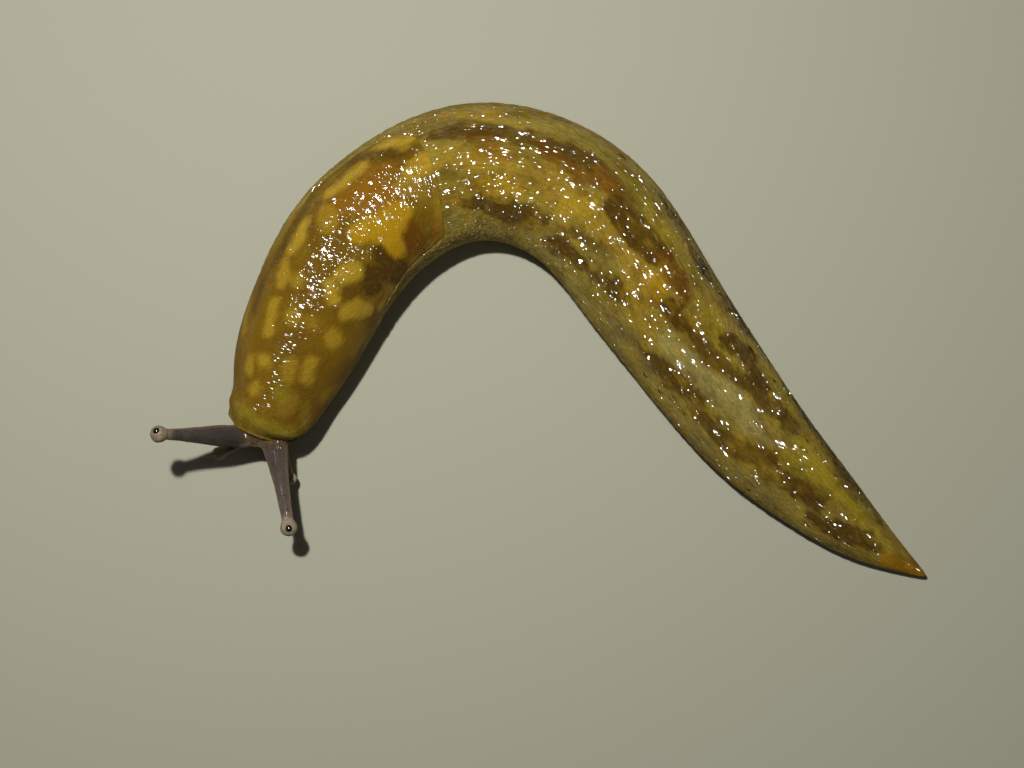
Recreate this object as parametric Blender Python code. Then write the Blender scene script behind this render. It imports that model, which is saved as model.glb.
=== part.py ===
"""Cellar slug, life size, crawling in a C-shaped bend with all four feelers out.

Metres, +Z up. The sole lies on z = 0, and the origin is the middle of the bottom of the
bounding box. Sizes below are millimetres, and S turns them into metres.
"""
from math import atan2, cos, pi, radians, sin

import bmesh
import bpy
import numpy as np
from mathutils import Matrix, Vector

S = 0.001
GAP = 0.3
EYE_GAP = 0.15

# Middle line of the back from the snout to the tail tip, seen from above: x, y, half-width
# of the trunk and height of the back over the floor.
SPINE = (
    (-27.3, -10.2, 2.1, 5.0),
    (-26.8, -8.3, 3.3, 6.3),
    (-25.85, -6.65, 3.9, 6.95),
    (-24.2, -2.7, 5.1, 7.85),
    (-21.6, 3.2, 5.9, 8.6),
    (-18.3, 8.8, 6.2, 9.0),
    (-13.6, 13.1, 6.2, 8.9),
    (-7.6, 15.6, 6.3, 8.6),
    (-1.2, 14.9, 6.3, 8.3),
    (4.3, 11.4, 6.3, 8.2),
    (8.2, 6.3, 6.1, 7.9),
    (11.9, 1.0, 5.7, 7.4),
    (15.7, -4.2, 5.35, 6.8),
    (19.8, -9.2, 4.8, 5.9),
    (24.4, -13.7, 3.85, 4.7),
    (29.3, -17.9, 2.5, 3.2),
    (35.4, -21.9, 0.15, 1.05),
)
WIDEST = 0.38           # height of the widest place of a section, as a share of its height
UNDERCUT = 1.25         # how far the lower flank curves, against that height

# Foot: a flat sole with a rounded fringe, parted from the flank by the groove round it.
FOOT_THICK = 0.9
FOOT_TIP_THICK = 0.5
FOOT_SHARE = 0.9
FRINGE = 0.22
FOOT_START = 1.0
FOOT_NOSE = 2.6         # length of the rounded front of the foot
FOOT_BLUNT = 0.75       # how far that rounding narrows the front
FOOT_THIN_FROM = 82.0

# Lengths of the trunk, as distances from the snout.
NECK_START = 4.6
FORE_START = 17.5
ARCH_START = 34.6
MID_START = 48.6
REAR_START = 62.8
TAIL_START = 77.0
RING_STEP = 1.3
RING_POINTS = 43

# Skin of the trunk: lengthwise rows of long tubercles, and a keel on the tail.
RUGA_HEIGHT = 0.24
RUGA_LENGTH = 3.0
RUGA_MEAN = 0.45        # mean height of a row, as a share of its highest places
RUGA_STAGGER = 0.37     # shift from row to row, as a share of the length
RUGA_FADE = 6.0
FLANK_FADE = 0.3        # angle over the groove in which the tubercles fade out
RIM_FOLLOW = 3.0        # length beside the mantle's rear rim where the rings follow its curve
KEEL_HEIGHT = 0.35
KEEL_WIDTH = 0.55
KEEL_START = 68.0
KEEL_RISE = 12.0
KEEL_FALL = 5.0

# Mantle: the shield over the front third, free at its rim.
MANTLE_FRONT = 1.6
MANTLE_REAR = 31.4
MANTLE_THICK = 1.2
MANTLE_RIM = 0.5
MANTLE_THICKENS = 5.0
MANTLE_SIDE = ((1.4, -12.0), (9.0, -10.0), (13.0, 2.0), (18.0, 18.0), (24.0, 27.0), (31.4, 30.0))
# How far the front and rear rims curve back at the sides: depth and power of the curve.
MANTLE_FRONT_ROUND = {"right": (0.5, 2.0), "left": (3.2, 3.0)}
MANTLE_REAR_ROUND = {"right": (3.2, 2.4), "left": (3.6, 1.3)}
MANTLE_RIDGE = 0.07
BREATHING_HOLE_AT = 21.6
BREATHING_HOLE = (1.5, 1.2, 0.75)   # length, depth and half height of the notch
BREATHING_HOLE_OUT = 0.1
RIM_DROP = 0.3          # how far the free rim is rounded down, as a share of its thickness
FEELER_ROOM = (-1.6, 3.0)   # stretch of an upper feeler for which the front rim makes room

# Head and feelers. Each feeler runs from a root on the head to the middle of its end bulb.
HEAD_WIDTH = 2.45
HEAD_HEIGHT = 5.4
HEAD_START = 0.4
HEAD_ROUND = 2.0
HEAD_MIDDLE = 0.42      # height of the head's widest place, as a share of its height
HEAD_LOWEST = 0.6       # angle under that place at which the head meets the groove
HEAD_POINTS = 25
HEAD_STATIONS = (0.003, 0.06, 0.16, 0.3, 0.47, 0.64, 0.82, 1.0)
SNOUT = (0.45, 0.5)     # width and height of the snout's very front, as shares of the head's
MOUTH_WIDTH = 1.5
MOUTH_HEIGHT = 0.35
MOUTH_DEPTH = 0.6
MOUTH_LEVEL = 1.75
LIP_SIZE = (0.75, 0.6, 0.56)
LIP_AT = (0.35, 0.8, 1.95)   # behind the head's front, to the side, and over the floor
STUB = 0.75             # length of feeler that belongs to the head
STUB_ROOT = 1.3         # and how deep it is rooted in it
FEELERS = {
    "tentacle_upper_right": ((-28.4, -8.7, 4.2), (-34.85, -8.35, 9.3), 0.8, (1.08, 1.0, 0.78, 0.57, 0.47)),
    "tentacle_upper_left": ((-25.2, -9.5, 4.1), (-23.75, -16.95, 5.6), 0.83, (1.28, 0.92, 0.69, 0.58, 0.5)),
    "tentacle_lower_right": ((-28.1, -9.1, 2.2), (-30.7, -10.35, 1.75), 0.66, (0.65, 0.52, 0.46, 0.42, 0.42)),
    "tentacle_lower_left": ((-24.8, -10.5, 2.1), (-24.05, -12.7, 1.7), 0.6, (0.7, 0.55, 0.48, 0.42, 0.42)),
}
FEELER_SIDES = 12
FEELER_STEP = 0.8
BULB_RINGS = (-0.35, 0.0, 0.35, 0.65, 0.88)   # rings of the bulb, as shares of its radius
BULB_START = 0.7
EYE_RADIUS = 0.3
EYE_SUNK = 0.45         # depth of the eye's middle in the bulb, as a share of its radius
# Where each eye looks: forward along its feeler, outward across it and up.
EYE_LEAN = {"right": (0.72, 0.46, 0.53), "left": (0.33, 0.13, 0.93)}

SKIN = {
    "ochre": (0.27, 0.19, 0.035, 0.32),
    "mantle": (0.33, 0.22, 0.03, 0.3),
    "sole": (0.45, 0.40, 0.20, 0.4),
    "head": (0.16, 0.13, 0.10, 0.35),
    "feeler": (0.17, 0.15, 0.15, 0.35),
    "eye": (0.01, 0.01, 0.012, 0.1),
}


def natural_spline(knots, values):
    """Return a function that gives the natural cubic spline through the values."""
    knots = np.asarray(knots, float)
    values = np.asarray(values, float)
    step = np.diff(knots)
    slope = np.diff(values, axis=0) / step[:, None]
    size = len(knots)
    system = np.eye(size)
    right = np.zeros_like(values)
    for i in range(1, size - 1):
        system[i, i - 1:i + 2] = step[i - 1], 2 * (step[i - 1] + step[i]), step[i]
        right[i] = 6 * (slope[i] - slope[i - 1])
    bend = np.linalg.solve(system, right)

    def at(s):
        i = int(np.clip(np.searchsorted(knots, s) - 1, 0, size - 2))
        h = step[i]
        a = (knots[i + 1] - s) / h
        b = (s - knots[i]) / h
        curve = ((a ** 3 - a) * bend[i] + (b ** 3 - b) * bend[i + 1]) * h * h / 6
        return a * values[i] + b * values[i + 1] + curve

    return at


SPINE_POINTS = np.array(SPINE)
SPINE_AT = np.concatenate([[0.0], np.cumsum(np.linalg.norm(np.diff(SPINE_POINTS[:, :2], axis=0), axis=1))])
LENGTH = float(SPINE_AT[-1])
spine = natural_spline(SPINE_AT, SPINE_POINTS)


def smoothstep(x):
    x = min(max(x, 0.0), 1.0)
    return x * x * (3 - 2 * x)


def across(s):
    """Unit vector to the animal's right, level with the floor."""
    ahead = spine(s + 0.05)[:2]
    behind = spine(s - 0.05)[:2]
    along = (ahead - behind) / np.linalg.norm(ahead - behind)
    return np.array((-along[1], along[0]))


def place(s, side, height):
    """Point beside the middle line: side to the animal's right, height over the floor."""
    x, y = spine(s)[:2] + across(s) * side
    return Vector((x, y, height))


def foot_top(s):
    thin = smoothstep((s - FOOT_THIN_FROM) / (LENGTH - FOOT_THIN_FROM))
    return FOOT_THICK + (FOOT_TIP_THICK - FOOT_THICK) * thin


def section_point(s, angle, sunk=0.0):
    """Point of the trunk's section: angle 0 is the right flank, 90 degrees the back."""
    width, height = spine(s)[2:]
    floor = foot_top(s) + GAP
    middle = max(WIDEST * height, floor + 0.1)
    side = (width - sunk) * cos(angle)
    if sin(angle) >= 0:
        return side, middle + (height - middle - sunk) * sin(angle)
    return side, max(floor, middle + UNDERCUT * middle * sin(angle))


def lowest_angle(s):
    """Angle below the horizontal at which the flank reaches the groove."""
    height = spine(s)[3]
    floor = foot_top(s) + GAP
    middle = max(WIDEST * height, floor + 0.1)
    share = min((middle - floor) / (UNDERCUT * middle), 1.0)
    return -atan2(share, (1 - share * share) ** 0.5)


def mantle_side(s):
    """Angle of the mantle's side rim over the horizontal."""
    at, angle = zip(*MANTLE_SIDE)
    return radians(float(np.interp(s, at, angle)))


def mantle_ends(lean):
    """Front and rear rim of the mantle where the section leans to the left by lean."""
    share = min(abs(lean) / (pi / 2), 1.0)
    flank = "left" if lean > 0 else "right"
    depth, power = MANTLE_FRONT_ROUND[flank]
    front = MANTLE_FRONT + depth * share ** power
    depth, power = MANTLE_REAR_ROUND[flank]
    rear = MANTLE_REAR - depth * share ** power
    return front, rear


def inside_mantle(s, angle):
    """Distance inside the mantle's rim, negative outside it."""
    lean = angle - pi / 2
    front, rear = mantle_ends(lean)
    radius = spine(s)[2]
    return min(s - front, rear - s, (pi / 2 - abs(lean) - mantle_side(s)) * radius)


def mantle_thickness(inside):
    return MANTLE_RIM + (MANTLE_THICK - MANTLE_RIM) * smoothstep(inside / MANTLE_THICKENS)


def under_mantle(s, angle):
    """How far the trunk is sunk so that the mantle lies over it."""
    inside = inside_mantle(s, angle)
    return (mantle_thickness(inside) + GAP) * smoothstep((inside + 3 * GAP) / (2 * GAP))


def ruga(s, row):
    """Height of a tubercle's crest: odd rows are crests, and their breaks are staggered."""
    if row % 2 == 0:
        return 0.0
    wave = cos(2 * pi * (s / RUGA_LENGTH + RUGA_STAGGER * row))
    return RUGA_HEIGHT * (RUGA_MEAN + (1 - RUGA_MEAN) * wave) * smoothstep((LENGTH - s) / RUGA_FADE)


def keel(s, side):
    rise = smoothstep((s - KEEL_START) / KEEL_RISE) * smoothstep((LENGTH - s) / KEEL_FALL)
    return KEEL_HEIGHT * rise * np.exp(-(side / KEEL_WIDTH) ** 2)


def make_material(name, skin):
    red, green, blue, roughness = SKIN[skin]
    material = bpy.data.materials.new(name)
    material.use_nodes = True
    shader = material.node_tree.nodes["Principled BSDF"]
    shader.inputs["Base Color"].default_value = (red, green, blue, 1.0)
    shader.inputs["Roughness"].default_value = roughness
    shader.inputs["Metallic"].default_value = 0.0
    return material


def smooth(mesh):
    mesh.shade_smooth()
    mesh.set_sharp_from_angle(angle=radians(50))


def make_object(name, mesh, skin):
    smooth(mesh)
    mesh.materials.append(make_material(name, skin))
    piece = bpy.data.objects.new(name, mesh)
    bpy.context.scene.collection.objects.link(piece)
    return piece


def loft(name, rings, skin, end_point=None):
    """Closed body through rings of equal count, with flat ends or one end drawn to a point."""
    work = bmesh.new()
    rows = [[work.verts.new(Vector(point) * S) for point in ring] for ring in rings]
    count = len(rows[0])
    for one, two in zip(rows, rows[1:]):
        for i in range(count):
            j = (i + 1) % count
            work.faces.new((one[i], one[j], two[j], two[i]))
    work.faces.new(reversed(rows[0]))
    if end_point is None:
        work.faces.new(rows[-1])
    else:
        tip = work.verts.new(Vector(end_point) * S)
        for i in range(count):
            work.faces.new((rows[-1][i], rows[-1][(i + 1) % count], tip))
    bmesh.ops.recalc_face_normals(work, faces=work.faces)
    mesh = bpy.data.meshes.new(name)
    work.to_mesh(mesh)
    work.free()
    return make_object(name, mesh, skin)


def combine(piece, others, operation):
    """Join or cut a piece with other closed objects, which are then removed."""
    group = bpy.data.collections.new(piece.name + "_tools")
    for other in others:
        group.objects.link(other)
    change = piece.modifiers.new("combine", "BOOLEAN")
    change.operation = operation
    change.solver = "EXACT"
    change.operand_type = "COLLECTION"
    change.collection = group
    bpy.context.view_layer.update()
    evaluated = piece.evaluated_get(bpy.context.evaluated_depsgraph_get())
    mesh = bpy.data.meshes.new_from_object(evaluated)
    piece.modifiers.clear()
    smooth(mesh)
    piece.data = mesh
    for other in others:
        bpy.data.objects.remove(other)
    bpy.data.collections.remove(group)


def ball(name, centre, axes, sizes, skin, detail=2):
    """Ellipsoid with its own axes, from a subdivided icosahedron."""
    work = bmesh.new()
    turn = Matrix([axis.normalized() for axis in axes]).transposed().to_4x4()
    matrix = Matrix.Translation(Vector(centre) * S) @ turn @ Matrix.Diagonal((*sizes, 1.0))
    bmesh.ops.create_icosphere(work, subdivisions=detail, radius=S, matrix=matrix)
    bmesh.ops.recalc_face_normals(work, faces=work.faces)
    mesh = bpy.data.meshes.new(name)
    work.to_mesh(mesh)
    work.free()
    return make_object(name, mesh, skin)


def stations(start, end):
    steps = max(2, round((end - start) / RING_STEP))
    return np.linspace(start, end, steps + 1)


def trunk_length(name, start, end, skin="ochre"):
    """One length of the trunk, its ends cut square to the middle line."""
    rings = []
    for s in stations(start + GAP / 2, end - GAP / 2):
        low = lowest_angle(s)
        ring = []
        for row in range(RING_POINTS):
            angle = low + (pi - 2 * low) * row / (RING_POINTS - 1)
            # Beside the mantle's rear rim the ring follows the rim's curve.
            near = smoothstep(1 - abs(s - MANTLE_REAR) / RIM_FOLLOW)
            bent = s - near * (MANTLE_REAR - mantle_ends(angle - pi / 2)[1])
            sunk = under_mantle(bent, angle)
            side, height = section_point(bent, angle, sunk)
            bare = smoothstep((angle - low) / FLANK_FADE) * smoothstep((pi - low - angle) / FLANK_FADE)
            rise = (ruga(bent, row) * bare + keel(bent, side)) * smoothstep(1 - sunk / GAP)
            ring.append(place(bent, side + rise * cos(angle), height + rise * max(sin(angle), 0.0)))
        rings.append(ring)
    return loft(name, rings, skin)


def foot_length(name, start, end):
    """One length of the foot: flat below, with a rounded fringe."""
    rings = []
    for s in stations(start + GAP / 2, end - GAP / 2):
        width = spine(s)[2] * FOOT_SHARE
        if s < FOOT_START + FOOT_NOSE:
            width *= (1 - FOOT_BLUNT * (1 - (s - FOOT_START) / FOOT_NOSE) ** 2) ** 0.5
        top = foot_top(s)
        fringe = min(FRINGE, 0.4 * width)
        half = ((width - fringe, 0.0), (width, fringe), (width, top - fringe), (width - fringe, top))
        outline = list(half) + [(-side, height) for side, height in reversed(half)]
        rings.append([place(s, side, height) for side, height in outline])
    return loft(name, rings, "sole")


def rim_samples(count, margin):
    """Shares from 0 to 1 with one extra sample close to each end."""
    return [0.0, margin, *np.linspace(0.0, 1.0, count)[1:-1], 1.0 - margin, 1.0]


def make_mantle(along=24, over=23):
    """Shield with an outer and an inner skin that meet at the free rim."""
    outer, inner = [], []
    for u in rim_samples(along, 0.012):
        out_row, in_row = [], []
        for column, v in enumerate(rim_samples(over, 0.02)):
            lean = 2 * v - 1
            s = MANTLE_FRONT + u * (MANTLE_REAR - MANTLE_FRONT)
            for settle in range(4):
                angle = pi / 2 + lean * (pi / 2 - mantle_side(s))
                front, rear = mantle_ends(angle - pi / 2)
                s = front + u * (rear - front)
            edge = 1.0 if u in (0.0, 1.0) or v in (0.0, 1.0) else 0.0
            ridge = MANTLE_RIDGE * (column % 2) * (1 - edge)
            side, height = section_point(s, angle, RIM_DROP * MANTLE_RIM * edge - ridge)
            out_row.append(place(s, side, height))
            thick = mantle_thickness(inside_mantle(s, angle))
            side, height = section_point(s, angle, thick)
            in_row.append(place(s, side, height))
        outer.append(out_row)
        inner.append(in_row)
    rings = [top + bottom[::-1] for top, bottom in zip(outer, inner)]
    return loft("mantle", rings, "mantle")


def feeler_frame(name):
    """Root, bulb middle, direction and length of a feeler."""
    root, bulb = (Vector(point) for point in FEELERS[name][:2])
    along = bulb - root
    return root, bulb, along.normalized(), along.length


def feeler_rings(name, start, end, swell=0.0):
    """Rings of a feeler between two distances from its root, out to its bulb."""
    root, bulb, along, reach = feeler_frame(name)
    radius, stalk = FEELERS[name][2:]
    side = along.cross(Vector((0, 0, 1))).normalized()
    up = side.cross(along)
    rings = []
    for distance in np.append(np.arange(start, end, FEELER_STEP), end):
        width = float(np.interp(distance / reach, np.linspace(0, 1, len(stalk)), stalk))
        before = distance - reach
        if abs(before) < radius:
            width = max(width if before < 0 else 0.0, (radius ** 2 - before ** 2) ** 0.5)
        width += swell
        centre = root + along * distance
        turns = [2 * pi * i / FEELER_SIDES for i in range(FEELER_SIDES)]
        rings.append([centre + side * cos(t) * width + up * sin(t) * width for t in turns])
    return rings


def make_feeler(name):
    root, bulb, along, reach = feeler_frame(name)
    radius = FEELERS[name][2]
    rings = feeler_rings(name, STUB + GAP, reach - BULB_START * radius)
    for share in BULB_RINGS:
        rings += feeler_rings(name, reach + share * radius, reach + share * radius)[-1:]
    return loft(name, rings, "feeler", end_point=bulb + along * radius)


def make_eye(side):
    """Eyeball in a socket on top of the end bulb of an upper feeler."""
    name = "tentacle_upper_" + side
    bulb, along = feeler_frame(name)[1:3]
    right = along.cross(Vector((0, 0, 1))).normalized()
    up = right.cross(along)
    outward = right if side == "right" else -right
    forward, beside, above = EYE_LEAN[side]
    look = (along * forward + outward * beside + up * above).normalized()
    centre = bulb + look * (FEELERS[name][2] - EYE_SUNK * EYE_RADIUS)
    axes = (along, right, up)
    eye = ball("eye_" + side, centre, axes, [EYE_RADIUS] * 3, "eye")
    socket = ball("socket", centre, axes, [EYE_RADIUS + EYE_GAP] * 3, "eye")
    return eye, socket


def head_ring(s, end):
    """Section of the head, rounded off at the snout."""
    share = 1 - min((s - HEAD_START) / HEAD_ROUND, 1.0)
    round_off = (1 - share * share) ** 0.5
    full = HEAD_START + HEAD_ROUND
    back = smoothstep((s - full) / (end - full))
    floor = foot_top(s) + GAP
    sunk = under_mantle(s, pi / 2)
    fit_side = section_point(s, 0.0, sunk)[0]
    fit_top = section_point(s, pi / 2, sunk)[1]
    width = (HEAD_WIDTH + (fit_side - HEAD_WIDTH) * back) * (SNOUT[0] + (1 - SNOUT[0]) * round_off)
    top = HEAD_HEIGHT + (fit_top - HEAD_HEIGHT) * back
    height = (top - floor) * (SNOUT[1] + (1 - SNOUT[1]) * round_off)
    middle = floor + HEAD_MIDDLE * height
    ring = []
    for angle in np.linspace(-HEAD_LOWEST, pi + HEAD_LOWEST, HEAD_POINTS):
        rise = floor + height - middle if sin(angle) > 0 else (middle - floor) / sin(HEAD_LOWEST)
        ring.append(place(s, width * cos(angle), max(floor, middle + rise * sin(angle))))
    return ring


def make_head():
    """Head with four feeler stubs, two lip lobes and the mouth between them."""
    end = NECK_START - GAP / 2
    rings = [head_ring(HEAD_START + (end - HEAD_START) * share, end)
             for share in HEAD_STATIONS]
    head = loft("head", rings, "head")
    stubs = [loft("stub", feeler_rings(name, -STUB_ROOT, STUB), "head") for name in FEELERS]
    forward = Vector((*(spine(0)[:2] - spine(1)[:2]), 0)).normalized()
    right = Vector((*across(0.5), 0))
    up = Vector((0, 0, 1))
    axes = (right, forward, up)
    lips = []
    for turned in (-1, 1):
        centre = place(HEAD_START + LIP_AT[0], turned * LIP_AT[1], LIP_AT[2])
        lips.append(ball("lip", centre, axes, LIP_SIZE, "head"))
    combine(head, stubs + lips, "UNION")
    mouth = ball("mouth", place(HEAD_START, 0.0, MOUTH_LEVEL) + forward * MOUTH_DEPTH / 2, axes,
                 (MOUTH_WIDTH / 2, MOUTH_DEPTH, MOUTH_HEIGHT / 2), "head")
    combine(head, [mouth], "DIFFERENCE")
    return head


def main():
    for old in list(bpy.data.objects):
        bpy.data.objects.remove(old)

    cuts = (NECK_START, FORE_START, ARCH_START, MID_START, REAR_START, TAIL_START, LENGTH)
    names = ("neck", "body_fore", "body_arch", "body_mid", "body_rear", "tail")
    for name, start, end in zip(names, cuts, cuts[1:]):
        trunk_length(name, start, end)

    foot_cuts = (FOOT_START, FORE_START, ARCH_START, MID_START, REAR_START, TAIL_START, LENGTH + GAP)
    foot_names = ("foot_front", "foot_fore", "foot_arch", "foot_mid", "foot_rear", "foot_tail")
    for name, start, end in zip(foot_names, foot_cuts, foot_cuts[1:]):
        foot_length(name, start, end)

    make_head()
    mantle = make_mantle()
    room = [loft("room", feeler_rings(name, *FEELER_ROOM, GAP), "mantle")
            for name in ("tentacle_upper_right", "tentacle_upper_left")]
    middle_angle = mantle_side(BREATHING_HOLE_AT)
    side, height = section_point(BREATHING_HOLE_AT, middle_angle)
    right = Vector((*across(BREATHING_HOLE_AT), 0))
    up = Vector((0, 0, 1))
    centre = place(BREATHING_HOLE_AT, side + BREATHING_HOLE_OUT, height)
    length, depth, tall = BREATHING_HOLE
    hole = ball("hole", centre, (right.cross(up), right, up), (length / 2, depth / 2, tall), "mantle")
    combine(mantle, room + [hole], "DIFFERENCE")

    for name in FEELERS:
        make_feeler(name)
    for side_name in ("right", "left"):
        eye, socket = make_eye(side_name)
        combine(bpy.data.objects["tentacle_upper_" + side_name], [socket], "DIFFERENCE")


main()
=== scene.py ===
"""Looks of the cellar slug: one wet skin from snout to tail tip, the mantle over it, two eyes.

Lengths are millimetres in the frame of the part, and S turns them into metres. Markings are
given as strokes where they are seen from above, and are wrapped onto the skin from there.
"""

from math import pi, radians

import bmesh
import bpy
import numpy as np
from mathutils import Matrix, Vector


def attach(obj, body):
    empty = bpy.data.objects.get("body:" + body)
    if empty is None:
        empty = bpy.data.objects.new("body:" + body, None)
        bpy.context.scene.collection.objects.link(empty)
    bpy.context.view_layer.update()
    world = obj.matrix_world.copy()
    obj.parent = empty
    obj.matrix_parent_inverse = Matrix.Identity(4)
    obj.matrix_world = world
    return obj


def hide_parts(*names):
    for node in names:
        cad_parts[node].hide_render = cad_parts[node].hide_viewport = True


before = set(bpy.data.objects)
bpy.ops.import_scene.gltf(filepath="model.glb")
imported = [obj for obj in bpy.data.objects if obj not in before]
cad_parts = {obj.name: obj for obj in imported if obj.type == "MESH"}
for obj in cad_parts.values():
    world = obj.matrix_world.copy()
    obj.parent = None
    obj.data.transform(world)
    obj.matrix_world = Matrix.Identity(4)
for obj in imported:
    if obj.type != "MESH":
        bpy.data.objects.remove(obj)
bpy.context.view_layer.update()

S = 0.001               # metres in a millimetre
GAP = 0.3               # between the parts in CAD

# Middle line of the back from the snout to the tail tip: x, y, half-width and height.
SPINE = (
    (-27.3, -10.2, 2.1, 5.0),
    (-26.8, -8.3, 3.3, 6.3),
    (-25.85, -6.65, 3.9, 6.95),
    (-24.2, -2.7, 5.1, 7.85),
    (-21.6, 3.2, 5.9, 8.6),
    (-18.3, 8.8, 6.2, 9.0),
    (-13.6, 13.1, 6.2, 8.9),
    (-7.6, 15.6, 6.3, 8.6),
    (-1.2, 14.9, 6.3, 8.3),
    (4.3, 11.4, 6.3, 8.2),
    (8.2, 6.3, 6.1, 7.9),
    (11.9, 1.0, 5.7, 7.4),
    (15.7, -4.2, 5.35, 6.8),
    (19.8, -9.2, 4.8, 5.9),
    (24.4, -13.7, 3.85, 4.7),
    (29.3, -17.9, 2.5, 3.2),
    (35.4, -21.9, 0.15, 1.05),
)
WIDEST = 0.38           # height at which the trunk is widest, as a share of its own height
UNDERCUT = 1.25         # how steeply the flanks curve in below that

FOOT_THICK = 0.9
FOOT_TIP_THICK = 0.5
FOOT_THIN_FROM = 82.0
FOOT_SHARE = 0.9        # width of the foot as a share of the trunk's
FOOT_START = 1.0
FOOT_NOSE = 2.6         # length over which the front of the foot widens
FRINGE = 0.3            # radius of the foot's rounded edge
GROOVE_DEPTH = 0.4
ON_FOOT = -1.0          # stands for an angle round the trunk where a section follows the foot

# Mantle: its ends, the angle of its side rim over the horizontal at distances along the body,
# and how far its corners are rounded off, with the power of that curve.
MANTLE_FRONT = 1.6
MANTLE_REAR = 31.4
MANTLE_SIDE = ((1.4, -12.0), (9.0, -10.0), (13.0, 2.0), (18.0, 18.0), (24.0, 27.0),
               (28.0, 29.0), (30.0, 37.0), (31.4, 60.0))
MANTLE_FRONT_ROUND = {"right": (0.5, 2.0), "left": (3.2, 3.0)}
MANTLE_REAR_ROUND = {"right": (3.2, 2.4), "left": (3.6, 1.3)}
MANTLE_CENTRE = 19.0    # middle of the ridges
RIDGE_SPACING = 0.36
RIDGE_HEIGHT = 0.02
RIM_RADIUS = 0.2        # of the rounded rim, times its share at distances along the body
RIM_SHARE = ((1.4, 0.9), (4.0, 0.8), (9.0, 0.4), (27.0, 0.35), (31.0, 0.3))
MANTLE_DEPTH = 0.7      # depth of its underside, which the trunk's skin hides
FRONT_DROOP = 0.6       # how far the front rim bends down to the head
FRONT_SWELL = 0.35      # and how far the mantle swells just behind it
BREATHING_HOLE_AT = 21.6
BREATHING_HOLE = (0.8, 0.55, 0.5)       # half its length and height, and its depth

HEAD_WIDTH = 2.45
HEAD_HEIGHT = 5.4
HEAD_START = 0.4
HEAD_ROUND = 2.0        # length over which the front of the head is rounded
HEAD_END = 4.45
HEAD_GRAIN = 0.12       # voxel size of the head's skin
NECK_TAPER = 0.5        # how much slimmer the flanks are at the head
CUT_AT = 6.5            # where the head's skin is stitched to the skin of the trunk
MEETING = 1.0           # length over which the head's skin is drawn onto the trunk's sections
LIP_PLACE = (0.35, 0.8, 1.95)           # of each lip: behind the snout, beside it, height
LIP_SIZE = (0.75, 0.6, 0.56)
MOUTH_HEIGHT = 1.75
MOUTH_DEPTH = 0.45
PARTING_DEPTH = 0.2     # of the notch between the lips

# Feelers: root, middle of the bulb, radius of the bulb, and radii of the stalk from its root on.
FEELERS = {
    "upper_right": ((-28.4, -8.7, 4.2), (-34.85, -8.35, 9.3), 0.8, (1.08, 1.0, 0.78, 0.57, 0.47)),
    "upper_left": ((-25.2, -9.5, 4.1), (-23.75, -16.95, 5.6), 0.83, (1.28, 0.92, 0.69, 0.58, 0.5)),
    "lower_right": ((-28.1, -9.1, 2.2), (-30.7, -10.35, 1.75), 0.66, (0.65, 0.52, 0.46, 0.42, 0.42)),
    "lower_left": ((-24.8, -10.5, 2.1), (-24.05, -12.7, 1.7), 0.6, (0.7, 0.55, 0.48, 0.42, 0.42)),
}
# Painted light: a brightness factor for each feeler, standing in for how light falls on it and shines
# through it.
FEELER_PAINTED_LIGHT = {"upper_right": 0.9, "upper_left": 1.4, "lower_right": 2.2, "lower_left": 2.2}
EYE_RADIUS = 0.37
EYE_SUNK = 0.72         # share of its radius by which an eye's middle lies inside the bulb
EYE_LEAN = {"right": (0.72, 0.46, 0.53), "left": (0.33, 0.13, 0.93)}    # along, out and up

# Skin of the trunk: long tubercles in rows, fine ribs along the flanks, and the tail's keel.
ROWS = 64
TUBERCLE_LENGTH = 0.9
TUBERCLE_HEIGHT = 0.11
RIB_SPACING = 0.42
KEEL_HEIGHT = 0.35
KEEL_WIDTH = 0.55
KEEL_START = 68.0
FULL_HEIGHT = 7.5       # height of the back from which the flanks are at their tallest
ARC_POINTS = 172        # points of a section over the trunk
STEP_SEEN = 0.22        # between two sections
STEP_HIDDEN = 0.42      # and under the mantle

# Wet film on the skin, which lies in small domes: their length and width, and their height.
TRUNK_DOMES = ((0.62, 0.3), 0.16)
MANTLE_DOMES = ((0.21, 0.46), 0.11)
FLANK_DRY = 0.5         # how much less wet the skin is low on the flanks
DOME_LEAN = 0.9         # how far the domes lean to all sides
DOME_REACH = 0.55       # radius of a dome, as a share of the spacing of the domes
LOWEST_DOME = 0.35      # height of the lowest dome, where the highest is 1 higher
TIP_DRIES_FROM = 87.0   # where the film begins to thin towards the tail's tip

CAMERA_OVER = (-3.4, -3.89, 170.0)
LENS = 63.4
KEY_LIGHT_AT = (-36.4, 52.1, 170.0)
FILL_LIGHT_AT = (60.0, -60.0, 260.0)

# Colours of the skin as linear values.
TONES = {
    "olive": (0.18, 0.105, 0.006),
    "brown": (0.145, 0.075, 0.006),
    "dark": (0.075, 0.038, 0.004),
    "black": (0.024, 0.014, 0.004),
    "red": (0.125, 0.045, 0.003),
    "orange": (0.25, 0.112, 0.007),
    "tip": (0.40, 0.20, 0.005),
    "gold": (0.40, 0.23, 0.008),
    "yellow": (0.40, 0.26, 0.020),
    "green": (0.24, 0.187, 0.013),
    "ochre": (0.285, 0.185, 0.020),
    "moss": (0.25, 0.187, 0.026),
    "pale": (0.30, 0.255, 0.080),
    "tan": (0.225, 0.175, 0.036),
    "lime": (0.29, 0.22, 0.015),
    "flank": (0.11, 0.084, 0.015),
    "fringe": (0.16, 0.095, 0.02),
    "sole": (0.45, 0.38, 0.17),
    "head": (0.095, 0.06, 0.028),
    "feeler": (0.066, 0.052, 0.044),
    "bulb": (0.25, 0.20, 0.135),
}
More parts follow.
